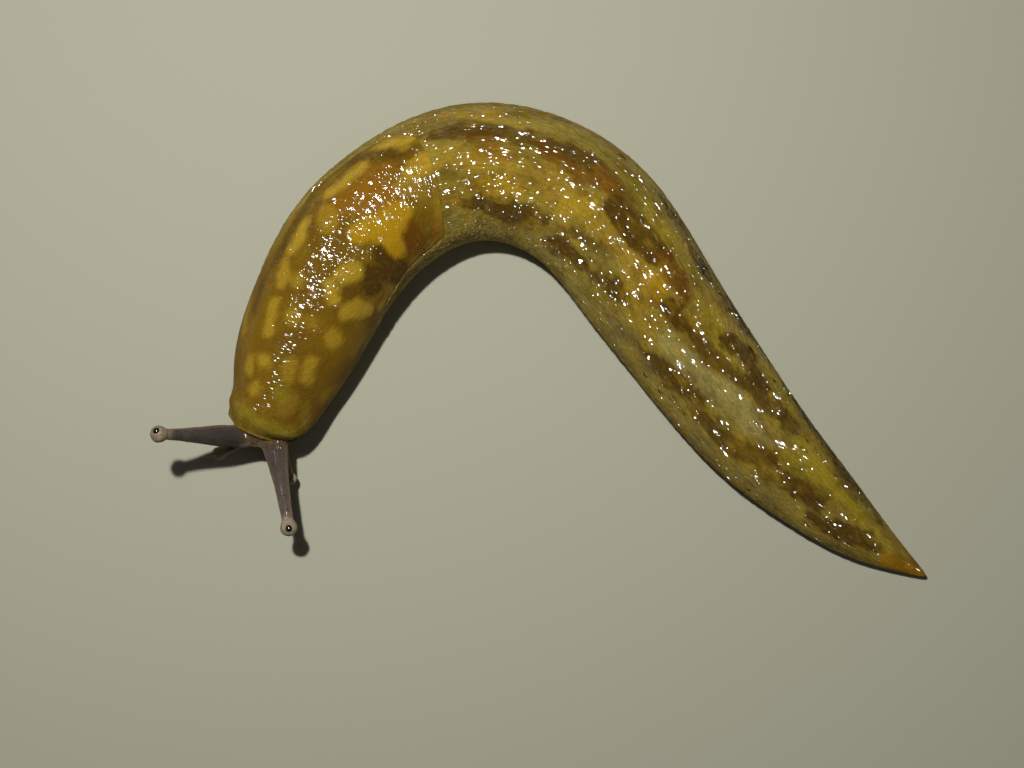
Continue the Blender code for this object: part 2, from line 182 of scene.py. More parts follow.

# Markings as seen from above, in the order of painting: tone, strength, and the places of a
# stroke, each with its x, y and half-width. The mantle's last stroke, a black band, is painted shade.
MANTLE_STROKES = (
    ("brown", 0.55, (-19.7, 9, 1.44), (-20.6, 6.3, 1.44), (-21.4, 3.7, 1.08)),
    ("brown", 0.6, (-17.8, -1.7, 1.17), (-19.6, -3.4, 1.08)),
    ("brown", 0.5, (-25.8, -0.4, 0.72), (-23.3, 0.1, 0.9), (-22.4, -4.9, 0.72)),
    ("orange", 0.75, (-18.4, 12.4, 1.26), (-16, 12.6, 1.44), (-14.2, 13, 1.26)),
    ("orange", 0.5, (-16.9, 14.2, 1.08), (-14.8, 15.1, 0.9)),
    ("dark", 0.95, (-14.9, 7.6, 1.3), (-13.8, 6.2, 1.7), (-16, 6.2, 0.9), (-16, 4.9, 1.1)),
    ("dark", 0.45, (-18.4, 4.4, 0.81), (-16, 2, 0.9)),
    ("dark", 0.6, (-17.9, 16.2, 0.54), (-15.3, 16.9, 0.72), (-12.4, 17.1, 0.72), (-10.8, 17.7, 0.54)),
    ("red", 0.75, (-12.6, 9.9, 1.08), (-12, 8.5, 1.17)),
    ("orange", 0.5, (-10.2, 10.3, 0.45), (-10.4, 8.1, 0.54)),
    ("gold", 0.9, (-16.9, 9.6, 1.08), (-14.5, 10, 1.35), (-13.3, 11.6, 0.99)),
    ("gold", 0.95, (-14.4, 9.6, 1.17), (-13.7, 8.1, 0.81)),
    ("yellow", 0.9, (-19.7, 13.4, 0.54), (-18.3, 14.5, 0.67), (-17, 15.7, 0.54)),
    ("yellow", 0.8, (-15.8, 17.5, 0.31), (-14.4, 17.8, 0.54), (-13.1, 17.8, 0.54), (-12.4, 18.4, 0.36)),
    ("yellow", 0.8, (-12.4, 15.1, 0.72), (-11.3, 15.8, 0.99), (-10.8, 16.3, 0.72)),
    ("ochre", 0.7, (-13.3, 13.7, 0.72), (-11.7, 13.5, 0.99)),
    ("yellow", 0.9, (-23.2, 8.3, 0.49), (-22.5, 9.4, 0.72), (-22.2, 10.4, 0.45)),
    ("yellow", 0.7, (-24, 6.8, 0.54), (-24, 5.8, 0.81), (-24.3, 5.1, 0.54)),
    ("yellow", 0.5, (-20.1, 11.6, 0.72), (-19.7, 10.3, 0.81)),
    ("yellow", 0.55, (-22.6, 5.4, 0.63)),
    ("yellow", 0.85, (-18.4, 5.9, 0.81), (-17.5, 6.3, 0.81)),
    ("yellow", 0.9, (-19.7, 5, 0.63), (-19.4, 3.7, 0.63)),
    ("yellow", 0.8, (-18.3, 2.6, 0.72), (-17.3, 2.9, 0.9), (-16.5, 2.9, 0.72)),
    ("yellow", 0.7, (-24.6, 3.7, 0.36), (-25.1, 2.3, 0.54), (-25.4, 1, 0.63)),
    ("yellow", 0.45, (-23.1, 2.2, 0.81)),
    ("yellow", 0.35, (-21.3, 1.6, 0.72)),
    ("yellow", 0.65, (-19.5, 0.1, 0.9)),
    ("ochre", 0.45, (-17, 0.1, 0.72), (-17.8, -1, 0.72)),
    ("yellow", 0.65, (-21.4, -1.9, 0.54), (-22, -3.5, 0.63)),
    ("yellow", 0.6, (-14.2, 4.5, 0.5), (-15.3, 3.2, 0.45)),
    ("yellow", 0.7, (-25.8, -1.8, 0.63)),
    ("yellow", 0.6, (-27.1, -1.8, 0.45), (-27.2, -2.7, 0.45)),
    ("yellow", 0.65, (-26.7, -4.3, 0.72)),
    ("ochre", 0.5, (-24, -6.3, 0.7), (-23.2, -5.2, 0.6)),
    ("yellow", 0.5, (-23.2, -1.9, 0.45), (-23.5, -3.4, 0.54)),
    ("gold", 0.4, (-20.5, -5.1, 0.81), (-19.4, -4.4, 0.81)),
    ("green", 0.6, (-24.2, -4.8, 0.81)),
    ("green", 0.5, (-22.1, -5.7, 0.54), (-22.3, -6.9, 0.63)),
    ("green", 0.65, (-28, -6.4, 0.72), (-26.7, -7.4, 0.72), (-25.1, -8, 0.72), (-23.7, -8.2, 0.54)),
    ("yellow", 0.45, (-27.4, 3.7, 0.36), (-27.8, 1, 0.45)),
    # Painted shade: a black band along the mantle's outer rim, for the shadowed flank there.
    ("black", 0.4, (-15.2, 18.3, 0.3), (-16.1, 17.6, 0.45), (-18.1, 16.5, 0.5), (-21.2, 13.8, 0.6),
     (-22.5, 11.6, 0.6), (-23.6, 9.7, 0.5), (-24.9, 7.1, 0.5), (-26, 5.4, 0.45), (-26.8, 2.8, 0.4)),
)

TRUNK_STROKES = (
    ("dark", 0.84, (-10.2, 18.4, 0.63), (-7.2, 19.1, 0.72), (-4.5, 18.8, 0.72), (-1.8, 18.2, 0.81),
     (0.9, 17.3, 0.9), (3.6, 15.9, 0.9), (5.7, 14.1, 0.91)),
    ("red", 0.6, (-7.2, 18.2, 0.54), (-5.2, 17.8, 0.54)),
    ("red", 0.75, (-0.4, 17.1, 0.63), (1.1, 16, 0.72), (2.7, 14.6, 0.99), (4.6, 14.1, 0.63)),
    ("ochre", 0.75, (-9.4, 20.5, 0.54), (-6.7, 20.7, 0.72), (-4.5, 20.5, 0.72)),
    ("gold", 0.5, (-5.6, 20.5, 0.72), (-4.5, 20.2, 0.63)),
    ("green", 0.6, (-2.7, 20.5, 0.63), (-0.2, 19.7, 0.72), (2.3, 18.7, 0.63), (4.6, 17.5, 0.63)),
    ("ochre", 0.8, (-9.3, 16.4, 0.99), (-6.3, 16.2, 1.08), (-2.7, 15.5, 1.35), (0.6, 13.3, 1.53)),
    ("gold", 0.5, (-6.3, 13.9, 0.81), (-4, 13.7, 0.9), (-2.7, 13.2, 0.63)),
    ("orange", 0.5, (-6.5, 16.9, 0.72), (-4.5, 16.6, 0.72)),
    ("dark", 0.48, (-9.5, 15.1, 0.63), (-8.6, 15, 0.54)),
    ("dark", 0.9, (-7.9, 12.5, 0.63), (-6.1, 12.3, 0.81), (-4, 11.4, 0.99), (-1.8, 11.6, 0.9),
     (-0.4, 10.7, 0.72)),
    ("red", 0.4, (-4.7, 10.7, 0.63), (-3.4, 10.3, 0.63)),
    ("tan", 0.6, (-9.3, 11.4, 0.54), (-7.2, 10.1, 0.72), (-5.4, 9.8, 0.54)),
    ("tan", 0.6, (-2.2, 9.8, 0.72), (-0.4, 8.9, 0.72), (0.9, 7.1, 0.72)),
    ("ochre", 0.8, (0.6, 12.6, 1.26), (2.7, 12.1, 1.71), (4.6, 10.6, 1.27), (6.8, 8.4, 1.18),
     (8.7, 6.3, 1.27)),
    ("yellow", 0.6, (1.4, 12.1, 1.08), (3.4, 11.9, 1.08)),
    ("dark", 0.72, (0.9, 10.3, 0.36), (2.5, 9.4, 0.54), (4.1, 8.5, 0.54)),
    ("tan", 0.6, (3.6, 8.1, 0.72), (5.7, 6.8, 0.82)),
    ("dark", 0.9, (-0.2, 9, 0.72), (1.4, 8.1, 1.08), (3.2, 6.9, 0.72)),
    ("dark", 0.9, (4.3, 5.8, 0.72), (6, 4.8, 1.09), (7.5, 3.7, 0.54)),
    ("orange", 0.7, (4.6, 14.8, 0.72), (5.8, 13.9, 0.63)),
    ("dark", 0.95, (5.7, 12.1, 0.82), (6.9, 10.8, 1.18), (8.4, 9.3, 1.45), (10, 7.5, 1)),
    ("red", 0.8, (10.2, 7.2, 0.82), (11.6, 5.5, 0.91), (12.2, 4.1, 0.72)),
    ("green", 0.75, (6.6, 15, 0.54), (8.4, 13.1, 0.82), (9.6, 11.2, 0.82), (11.3, 9.2, 0.82),
     (12.7, 7.2, 0.54)),
    ("yellow", 0.3, (8.9, 12.2, 0.54), (10.7, 9.5, 0.54)),
    ("black", 0.75, (10, 13.5, 0.45), (11.3, 11.5, 0.54), (12.7, 9.5, 0.4)),
    ("black", 0.85, (13.4, 7.9, 0.8), (14.3, 6.2, 0.9), (15, 5.2, 0.6)),
    ("black", 0.8, (16.4, 4, 0.8), (17.9, 1.6, 0.9), (19.5, -0.2, 0.6)),
    ("gold", 0.8, (9, 5.5, 0.9), (9.7, 4.3, 1)),
    ("ochre", 0.7, (6.8, 7.2, 0.82), (8.2, 3.7, 0.91), (9.1, 1.5, 0.91)),
    ("dark", 0.95, (10.7, 3.2, 0.72), (11.8, 2.2, 1), (12.8, 0.8, 0.6)),
    ("dark", 0.78, (13.3, 0.1, 0.54), (14.7, -1.5, 0.82), (16.5, -3, 0.82), (18.7, -4.4, 0.82),
     (21.1, -6.8, 0.74)),
    ("lime", 0.8, (13.6, 3.7, 0.63), (14.9, 2.1, 0.82), (15.6, 0.1, 0.82), (16.8, -1.4, 0.54)),
    ("ochre", 0.7, (12.6, 2.6, 0.4), (13.6, 1.2, 0.6)),
    ("ochre", 0.6, (14.4, 4.4, 0.45), (15.1, 2.6, 0.54)),
    ("pale", 0.8, (10.4, 0.1, 0.72), (12.2, -1.7, 1), (14.2, -3.5, 1), (16.5, -5.3, 1.27),
     (18.3, -7.2, 1.09), (20.6, -9.2, 0.74)),
    ("dark", 0.9, (6.6, 1, 0.45), (8.2, -0.6, 0.72), (10.2, -2.6, 1), (12.4, -4.6, 0.95),
     (13.4, -5.9, 0.8)),
    ("dark", 0.84, (14.1, -7, 0.7), (15.7, -8.6, 1), (18, -10.1, 0.95), (20.4, -10.7, 0.83),
     (22.4, -12.2, 0.55)),
    ("tan", 0.55, (2.7, 4.5, 0.63), (5.1, 2.6, 0.72), (7.3, -0.4, 0.72), (9.6, -3.3, 0.63)),
    ("tan", 0.6, (11.5, -6.2, 0.63), (13.6, -9, 0.82), (16.4, -11.5, 0.82), (19.5, -13.7, 0.83),
     (22.3, -15.3, 0.83)),
    ("dark", 0.95, (16.2, 0.1, 0.72), (17.8, -1, 1.09), (18.7, -2.8, 0.82), (19.9, -4.3, 0.55)),
    ("green", 0.8, (19.5, -2.2, 0.46), (21, -4.1, 0.74), (22.3, -5.7, 0.65), (22.8, -7.2, 0.46)),
    ("black", 0.75, (21.9, -3.9, 0.46), (23.7, -6.7, 0.74), (25.6, -9.4, 0.83), (27.8, -12.4, 0.83),
     (29.6, -14.6, 0.74), (30.9, -16.6, 0.37)),
    ("dark", 0.72, (20.4, -5.7, 0.55), (21.9, -7.6, 0.74), (23.7, -8.7, 0.55)),
    ("ochre", 0.6, (19.5, -7.2, 0.46), (20.6, -8.9, 0.55), (22.3, -10.2, 0.55)),
    ("lime", 0.9, (22.8, -9.6, 0.74), (23.9, -10.9, 1.11), (25.6, -12.7, 0.92), (27.6, -15, 0.74),
     (29.6, -17.2, 0.65), (31.5, -19, 0.46)),
    ("dark", 0.66, (22.8, -13.3, 0.74), (24.1, -14, 0.74), (24.8, -14.8, 0.55)),
    ("tan", 0.6, (20.4, -13.3, 0.74), (23.2, -15.1, 0.83), (25.9, -16.8, 0.74)),
    ("dark", 0.85, (21.6, -12.6, 0.7), (23, -13.6, 0.8), (24.6, -14.8, 0.7)),
    ("dark", 0.85, (24.2, -16.2, 0.5), (25.6, -17, 0.7), (27.4, -17.6, 0.75), (29.3, -18.4, 0.7),
     (30.6, -19, 0.5)),
    ("dark", 0.54, (19.7, -12.2, 0.55), (21.5, -12.7, 0.55)),
    ("lime", 0.9, (21.6, -10.6, 0.5), (23, -11.6, 0.8)),
    ("tip", 0.85, (30.8, -20.3, 0.6), (32.4, -20.7, 0.9), (34.1, -21.3, 0.7), (35.2, -21.8, 0.6)),
)


def natural_spline(knots, values):
    """Return a function that gives the natural cubic spline through the values."""
    knots = np.asarray(knots, float)
    values = np.asarray(values, float)
    step = np.diff(knots)
    slope = np.diff(values, axis=0) / step[:, None]
    size = len(knots)
    system = np.eye(size)
    right = np.zeros_like(values)
    for i in range(1, size - 1):
        system[i, i - 1:i + 2] = step[i - 1], 2 * (step[i - 1] + step[i]), step[i]
        right[i] = 6 * (slope[i] - slope[i - 1])
    bend = np.linalg.solve(system, right)

    def at(s):
        s = np.asarray(s, float)
        i = np.clip(np.searchsorted(knots, s) - 1, 0, size - 2)
        h = step[i]
        a = ((knots[i + 1] - s) / h)[..., None]
        b = ((s - knots[i]) / h)[..., None]
        curve = ((a ** 3 - a) * bend[i] + (b ** 3 - b) * bend[i + 1]) * (h * h / 6)[..., None]
        return a * values[i] + b * values[i + 1] + curve

    return at


SPINE_POINTS = np.array(SPINE)
SPINE_AT = np.concatenate([[0.0], np.cumsum(np.linalg.norm(np.diff(SPINE_POINTS[:, :2], axis=0), axis=1))])
LENGTH = float(SPINE_AT[-1])
spine = natural_spline(SPINE_AT, SPINE_POINTS)


def smoothstep(x):
    x = np.clip(x, 0.0, 1.0)
    return x * x * (3 - 2 * x)


def across(s):
    """Unit vectors to the animal's right, level with the floor."""
    s = np.asarray(s, float)
    along = spine(s + 0.05)[..., :2] - spine(s - 0.05)[..., :2]
    along /= np.linalg.norm(along, axis=-1, keepdims=True)
    return np.stack((-along[..., 1], along[..., 0]), axis=-1)


def place(s, side, height):
    """Points beside the middle line: side to the animal's right, height over the floor."""
    s, side, height = np.broadcast_arrays(s, side, height)
    level = spine(s)[..., :2] + across(s) * side[..., None]
    return np.concatenate((level, height[..., None]), axis=-1)


def side_of(points, s):
    """How far points lie to the animal's right of the middle line at their stations."""
    return ((points[:, :2] - spine(s)[:, :2]) * across(s)).sum(axis=1)


def foot_top(s):
    """Thickness of the foot, which thins towards the tail's tip."""
    thin = smoothstep((s - FOOT_THIN_FROM) / (LENGTH - FOOT_THIN_FROM))
    return FOOT_THICK + (FOOT_TIP_THICK - FOOT_THICK) * thin


def widest_place(s):
    """Height at which the trunk is widest, and height of its lowest edge over the foot."""
    floor = foot_top(s) + GAP
    return np.maximum(WIDEST * spine(s)[..., 3], floor + 0.1), floor


def section(s, angle, rise=0.0):
    """Side and height of the trunk's skin: angle 0 is the right flank, 90 degrees the back."""
    width, height = spine(s)[..., 2], spine(s)[..., 3]
    middle, floor = widest_place(s)
    side = (width + rise) * np.cos(angle)
    upper = middle + (height - middle + rise) * np.sin(angle)
    lower = np.maximum(floor, middle + UNDERCUT * middle * np.sin(angle))
    return side, np.where(np.sin(angle) >= 0, upper, lower)


def girth_radius(s):
    """Mean radius of the back, which turns an angle into a distance over the skin."""
    values = spine(s)
    return (values[..., 2] + (1 - WIDEST) * values[..., 3]) / 2


def over_back(s, angle):
    """Distance over the skin from the middle of the back, negative on the right."""
    return (angle - pi / 2) * girth_radius(s)


def lowest_angle(s):
    """Angle of the trunk's lower edge on the right."""
    middle, floor = widest_place(s)
    return -np.arcsin(np.minimum((middle - floor) / (UNDERCUT * middle), 0.98))


def mantle_side(s):
    """Angle of the mantle's side rim over the horizontal."""
    at, angle = zip(*MANTLE_SIDE)
    return np.radians(np.interp(s, at, angle))


def mantle_ends(lean):
    """Front and rear rim of the mantle where the section leans to the left by lean."""
    share = np.minimum(np.abs(lean) / (pi / 2), 1.0)

    def reach(rounds):
        depth = np.where(lean > 0, rounds["left"][0], rounds["right"][0])
        power = np.where(lean > 0, rounds["left"][1], rounds["right"][1])
        return depth * share ** power

    return MANTLE_FRONT + reach(MANTLE_FRONT_ROUND), MANTLE_REAR - reach(MANTLE_REAR_ROUND)


def inside_mantle(s, angle):
    """Distance inside the mantle's rim, negative outside it."""
    lean = angle - pi / 2
    front, rear = mantle_ends(lean)
    beside = (pi / 2 - np.abs(lean) - mantle_side(s)) * girth_radius(s)
    return np.minimum(np.minimum(s - front, rear - s), beside)


def lattice(seed):
    """Random table for the noise below."""
    return np.random.default_rng(seed).random(4096)


def hashed(table, *cell):
    """One random value for each whole-numbered cell."""
    scrambled = np.zeros_like(cell[0], dtype=np.int64)
    for number, prime in zip(cell, (73856093, 19349663, 83492791)):
        scrambled ^= number.astype(np.int64) * prime
    scrambled ^= scrambled >> 13
    scrambled *= 1274126177
    scrambled ^= scrambled >> 16
    return table[scrambled & 4095]


def noise(points, size, seed):
    """Smooth noise from -1 to 1 in as many dimensions as the points have."""
    table = lattice(seed)
    scaled = np.asarray(points) / size
    low = np.floor(scaled)
    share = smoothstep(scaled - low)
    dimensions = scaled.shape[-1]
    total = 0.0
    for corner in range(2 ** dimensions):
        steps = [(corner >> axis) & 1 for axis in range(dimensions)]
        weight = 1.0
        for axis, step in enumerate(steps):
            weight = weight * (share[..., axis] if step else 1 - share[..., axis])
        cell = [low[..., axis] + step for axis, step in enumerate(steps)]
        total = total + weight * hashed(table, *cell)
    return 2 * total - 1


def layered(points, size, seed):
    """Noise in three layers, each half as large and half as strong as the one before."""
    return sum(noise(points, size / 2 ** layer, seed + layer) / 2 ** layer for layer in range(3)) / 1.75


def cells(u, v, seed, jitter=0.75):
    """Distances to the nearest two of jittered cell middles, and a random value of the nearest."""
    one, two, three = lattice(seed), lattice(seed + 1), lattice(seed + 2)
    base_u, base_v = np.floor(u), np.floor(v)
    nearest = np.full(np.shape(u), 9.0)
    second = np.full(np.shape(u), 9.0)
    value = np.zeros(np.shape(u))
    for step_u in (-1, 0, 1):
        for step_v in (-1, 0, 1):
            cell_u, cell_v = base_u + step_u, base_v + step_v
            middle_u = cell_u + 0.5 + jitter * (hashed(one, cell_u, cell_v) - 0.5)
            middle_v = cell_v + 0.5 + jitter * (hashed(two, cell_u, cell_v) - 0.5)
            away = np.hypot(u - middle_u, v - middle_v)
            closer = away < nearest
            second = np.where(closer, nearest, np.minimum(second, away))
            value = np.where(closer, hashed(three, cell_u, cell_v), value)
            nearest = np.minimum(nearest, away)
    return nearest, second, value


def tubercles(s, angle):
    """Height of the long tubercles, from 0 in the grooves to 1 on the crests."""
    low = lowest_angle(s)
    turn = (angle - low) / (pi - 2 * low)
    where = np.stack((s, turn * 30), axis=-1)
    row = turn * ROWS + 0.55 * noise(where, 5.0, 11) + 0.35 * noise(where, 1.9, 12)
    column = s / TUBERCLE_LENGTH + 0.5 * hashed(lattice(13), np.floor(row)) + 0.25 * noise(where, 2.5, 14)
    nearest, second, own = cells(column, row, 15)
    dome = np.clip(1 - 1.1 * nearest ** 2, 0, 1)
    groove = smoothstep((second - nearest) / 0.42)
    return groove * dome * (0.6 + 0.4 * own)


def keel(s, side):
    """Height of the low keel along the middle of the tail."""
    rise = smoothstep((s - KEEL_START) / 12) * smoothstep((LENGTH - s) / 5)
    return KEEL_HEIGHT * rise * np.exp(-(side / KEEL_WIDTH) ** 2)


def rim_radius(s):
    """Radius of the mantle's rounded rim, which thins towards the rear."""
    at, share = zip(*RIM_SHARE)
    return RIM_RADIUS * np.interp(s, at, share)


def sunk_under_mantle(s, angle):
    """How far the trunk's skin lies below the mantle's surface."""
    inside = inside_mantle(s, angle)
    rim = rim_radius(s)
    return (2.2 * rim + 0.5 * smoothstep(inside / 4)) * smoothstep((inside + 2 * rim) / (3 * rim))


def foot_width(s):
    """Half-width of the foot, which is rounded off in front."""
    width = spine(s)[..., 2] * FOOT_SHARE
    nose = np.clip((s - FOOT_START) / FOOT_NOSE, 0, 1)
    return width * np.sqrt(1 - 0.75 * (1 - nose) ** 2)


def fringe_points(s, count=7):
    """Rounded edge of the foot on the right, from the groove down to the sole."""
    width, top = foot_width(s), foot_top(s)
    reach = np.minimum(FRINGE, 0.4 * width)
    turns = np.linspace(radians(70), radians(-90), count)
    side = (width - reach)[..., None] + reach[..., None] * np.cos(turns)
    height = (top / 2)[..., None] * (1 + np.sin(turns))
    return side, height


def skin_ring(s, sole_points=9):
    """Closed sections of the trunk and foot: side, height and angle, shape (stations, points)."""
    s = np.asarray(s, float)
    low = lowest_angle(s)
    turn = np.linspace(0, 1, ARC_POINTS)
    angle = low[:, None] + (pi - 2 * low)[:, None] * turn
    station = np.broadcast_to(s[:, None], angle.shape)
    slender = NECK_TAPER * (1 - smoothstep((station - HEAD_END) / 5))
    sunk = np.maximum(sunk_under_mantle(station, angle), slender)
    ends = smoothstep(turn / 0.05) * smoothstep((1 - turn) / 0.05)
    bare = smoothstep(1 - sunk / 0.3) * smoothstep((LENGTH - station) / 7)
    lumps = TUBERCLE_HEIGHT * (tubercles(station, angle) - 0.35) * bare * ends
    flat = section(station, angle)[0]
    side, height = section(station, angle, lumps + keel(station, flat) - sunk)
    bottom_side, bottom = side[:, -1:], (foot_top(s) + GAP)[:, None]
    shrink = np.clip(spine(s)[:, 2] / 2.5, 0.05, 1)[:, None]
    inset = bottom_side + np.array((0.1, GROOVE_DEPTH)) * shrink
    inset_height = bottom - (0.02, 0.5 * GAP)
    fringe_side, fringe_height = fringe_points(s)
    sole_side = fringe_side[:, -1:] * np.linspace(-1, 1, sole_points + 2)[1:-1]
    sides = (side, inset, -fringe_side, sole_side, fringe_side[:, ::-1], -inset[:, ::-1])
    heights = (height, inset_height, fringe_height, np.zeros_like(sole_side), fringe_height[:, ::-1],
               inset_height[:, ::-1])
    sides = np.concatenate(sides, axis=1)
    foot = np.full((len(s), sides.shape[1] - ARC_POINTS), ON_FOOT)
    return sides, np.concatenate(heights, axis=1), np.concatenate((angle, foot), axis=1)


def trunk_stations():
    """Stations along the trunk, closer together where the mantle doesn't cover it."""
    seen_from = MANTLE_REAR - 4.5
    hidden = round((seen_from - CUT_AT) / STEP_HIDDEN)
    seen = round((LENGTH - seen_from) / STEP_SEEN)
    return np.concatenate((np.linspace(CUT_AT, seen_from, hidden, endpoint=False),
                           np.linspace(seen_from, LENGTH - 0.02, seen)))


def grid_faces(rows, columns):
    """Faces of rings of equal count, each ring closed."""
    first = np.arange(rows - 1)[:, None] * columns
    here = np.arange(columns)[None, :]
    after = (here + 1) % columns
    ahead = first + columns
    return np.stack((first + here, first + after, ahead + after, ahead + here), axis=-1).reshape(-1, 4)


def make_mesh(name, points, faces):
    mesh = bpy.data.meshes.new(name)
    mesh.from_pydata(points.tolist(), [], faces)
    mesh.update()
    return mesh


def from_work(work, name):
    """New mesh from a bmesh."""
    mesh = bpy.data.meshes.new(name)
    work.to_mesh(mesh)
    work.free()
    return mesh


def turned_outward(mesh):
    """The mesh with all its faces turned outward."""
    work = bmesh.new()
    work.from_mesh(mesh)
    bmesh.ops.recalc_face_normals(work, faces=work.faces)
    work.to_mesh(mesh)
    work.free()
    return mesh


def add_object(name, data):
    added = bpy.data.objects.new(name, data)
    bpy.context.scene.collection.objects.link(added)
    return added


def closed_loft(name, rings):
    """Closed body through rings, with flat ends."""
    rows, columns = rings.shape[:2]
    faces = grid_faces(rows, columns).tolist()
    faces.append(list(range(columns))[::-1])
    faces.append(list(range((rows - 1) * columns, rows * columns)))
    return add_object(name, turned_outward(make_mesh(name, rings.reshape(-1, 3), faces)))


def feeler_length(name):
    """Distance from a feeler's root to the middle of its bulb."""
    root, bulb = np.array(FEELERS[name][:2])
    return np.linalg.norm(bulb - root)


def feeler_frame(name):
    """Root, bulb middle, direction and the directions across and up of a feeler."""
    root, bulb = np.array(FEELERS[name][:2])
    along = (bulb - root) / feeler_length(name)
    right = np.cross(along, (0, 0, 1))
    right /= np.linalg.norm(right)
    return root, bulb, along, right, np.cross(right, along)


def feeler_radius(name, distance, blend=0.12):
    """Radius of a feeler: a stalk that widens to its root, and a round bulb at its end."""
    reach = feeler_length(name)
    bulb_radius, stalk = FEELERS[name][2:]
    radius = np.interp(distance / reach, np.linspace(0, 1, len(stalk)), stalk)
    beyond = (distance - reach) / bulb_radius
    bulb = bulb_radius * np.sqrt(np.clip(1 - beyond ** 2, 0, 1))
    joined = 0.5 * (radius + bulb + np.sqrt((radius - bulb) ** 2 + blend ** 2)) - 0.5 * blend
    return np.where(beyond > 0, bulb, np.maximum(joined, radius))


def make_feeler(name):
    """Closed body of a feeler, which starts inside the head."""
    root, _, along, right, up = feeler_frame(name)
    reach = feeler_length(name)
    tip = reach + FEELERS[name][2] * np.sin(np.linspace(0, 0.485 * pi, 12))
    distances = np.concatenate((np.linspace(-1.0, reach, 46)[:-1], tip))
    radius = feeler_radius(name, distances)
    turns = np.linspace(0, 2 * pi, 36, endpoint=False)
    centre = root + along * distances[:, None]
    circle = right * np.cos(turns)[:, None] + up * np.sin(turns)[:, None]
    return closed_loft("feeler_" + name, centre[:, None, :] + circle * radius[:, None, None])


def head_size(s):
    """Half-width, lower edge and height of the head, which grows into the neck behind it."""
    share = 1 - np.clip((s - HEAD_START) / HEAD_ROUND, 0, 1)
    round_off = np.sqrt(1 - share * share)
    back = smoothstep((s - HEAD_START - HEAD_ROUND) / (HEAD_END - HEAD_START - HEAD_ROUND))
    sunk = sunk_under_mantle(s, pi / 2)
    neck_width = section(s, 0.0, -sunk)[0]
    neck_top = section(s, pi / 2, -sunk)[1]
    floor = foot_top(s) + GAP
    width = (HEAD_WIDTH + (neck_width - HEAD_WIDTH) * back) * (0.45 + 0.55 * round_off)
    top = HEAD_HEIGHT + (neck_top - HEAD_HEIGHT) * back
    return width, floor, (top - floor) * (0.5 + 0.5 * round_off)


def make_head_core():
    """Head and neck down to the foot, whose sides the groove parts from the fringe."""
    s = np.concatenate((HEAD_START + HEAD_ROUND * (1 - np.cos(np.linspace(0.06, 0.5 * pi, 14))),
                        np.linspace(2.6, HEAD_END, 8)))
    width, floor, height = (values[:, None] for values in head_size(s))
    middle = floor + 0.42 * height
    tuck, sine_of_tuck = 0.6, 0.565
    turns = np.linspace(-tuck, pi + tuck, 49)
    side = width * np.cos(turns)
    rise = np.where(np.sin(turns) > 0, floor + height - middle, (middle - floor) / sine_of_tuck)
    upper = np.maximum(floor, middle + rise * np.sin(turns))
    inset = (side[:, -1:] * 0.82, side[:, -1:] * 0.8)
    sides = np.concatenate((side, *inset, -inset[1], -inset[0]), axis=1)
    low, edge = np.full_like(floor, 0.72), floor - 0.12
    heights = np.concatenate((upper, edge, low, low, edge), axis=1)
    return closed_loft("head_core", place(s[:, None], sides, heights))


def make_neck_core():
    """Front of the trunk, which reaches behind the cut."""
    s = np.linspace(HEAD_END - 0.35, CUT_AT + 2, 20)
    sides, heights, _ = skin_ring(s)
    return closed_loft("neck_core", place(s[:, None], sides, heights))


def make_foot_core():
    """Front of the foot."""
    s = FOOT_START + np.concatenate(([0.0, 0.1, 0.25, 0.5], np.linspace(0.9, 6.0, 14)))
    side, height = fringe_points(s)
    sides = np.concatenate((side, -side[:, ::-1]), axis=1)
    heights = np.concatenate((height, height[:, ::-1]), axis=1)
    return closed_loft("foot_core", place(s[:, None], sides, heights))


def ball(name, centre, radii, axes=((1, 0, 0), (0, 1, 0), (0, 0, 1))):
    """Mesh of an ellipsoid on its own axes."""
    work = bmesh.new()
    turn = Matrix([Vector(axis) for axis in axes]).transposed().to_4x4()
    matrix = Matrix.Translation(Vector(centre)) @ turn @ Matrix.Diagonal((*radii, 1.0))
    bmesh.ops.create_icosphere(work, subdivisions=4, radius=1.0, matrix=matrix)
    return from_work(work, name)


def fuse(pieces, voxel):
    """One closed mesh round all the pieces."""
    bpy.ops.object.select_all(action="DESELECT")
    for piece in pieces:
        piece.select_set(True)
    whole = pieces[0]
    bpy.context.view_layer.objects.active = whole
    bpy.ops.object.join()
    change = whole.modifiers.new("fuse", "REMESH")
    change.mode = "VOXEL"
    change.voxel_size = voxel
    evaluated = whole.evaluated_get(bpy.context.evaluated_depsgraph_get())
    mesh = bpy.data.meshes.new_from_object(evaluated)
    bpy.data.objects.remove(whole)
    return mesh


def rows_of(items, field, columns, kind=float):
    """One row of values for each item of a mesh."""
    values = np.empty(len(items) * columns, dtype=kind)
    items.foreach_get(field, values)
    return values.reshape(-1, columns)


def mesh_points(mesh):
    return rows_of(mesh.vertices, "co", 3)


def set_points(mesh, points):
    mesh.vertices.foreach_set("co", points.ravel())
    mesh.update()


def mesh_normals(mesh):
    return rows_of(mesh.vertex_normals, "vector", 3)


def relaxed(points, edges, amount, rounds):
    """Points drawn towards the mean of their neighbours, by an amount for each point."""
    count = np.bincount(edges.ravel(), minlength=len(points)).clip(1)[:, None]
    for _ in range(rounds):
        total = np.zeros_like(points)
        for axis in range(3):
            total[:, axis] = (np.bincount(edges[:, 0], points[edges[:, 1], axis], len(points))
                              + np.bincount(edges[:, 1], points[edges[:, 0], axis], len(points)))
        points = points + amount * (total / count - points)
    return points


def smoothed(points, edges, rounds):
    """Points relaxed and pushed back in turn, so that thin forms keep their thickness."""
    for _ in range(rounds):
        points = relaxed(points, edges, 0.5, 1)
        points = relaxed(points, edges, -0.52, 1)
    return points


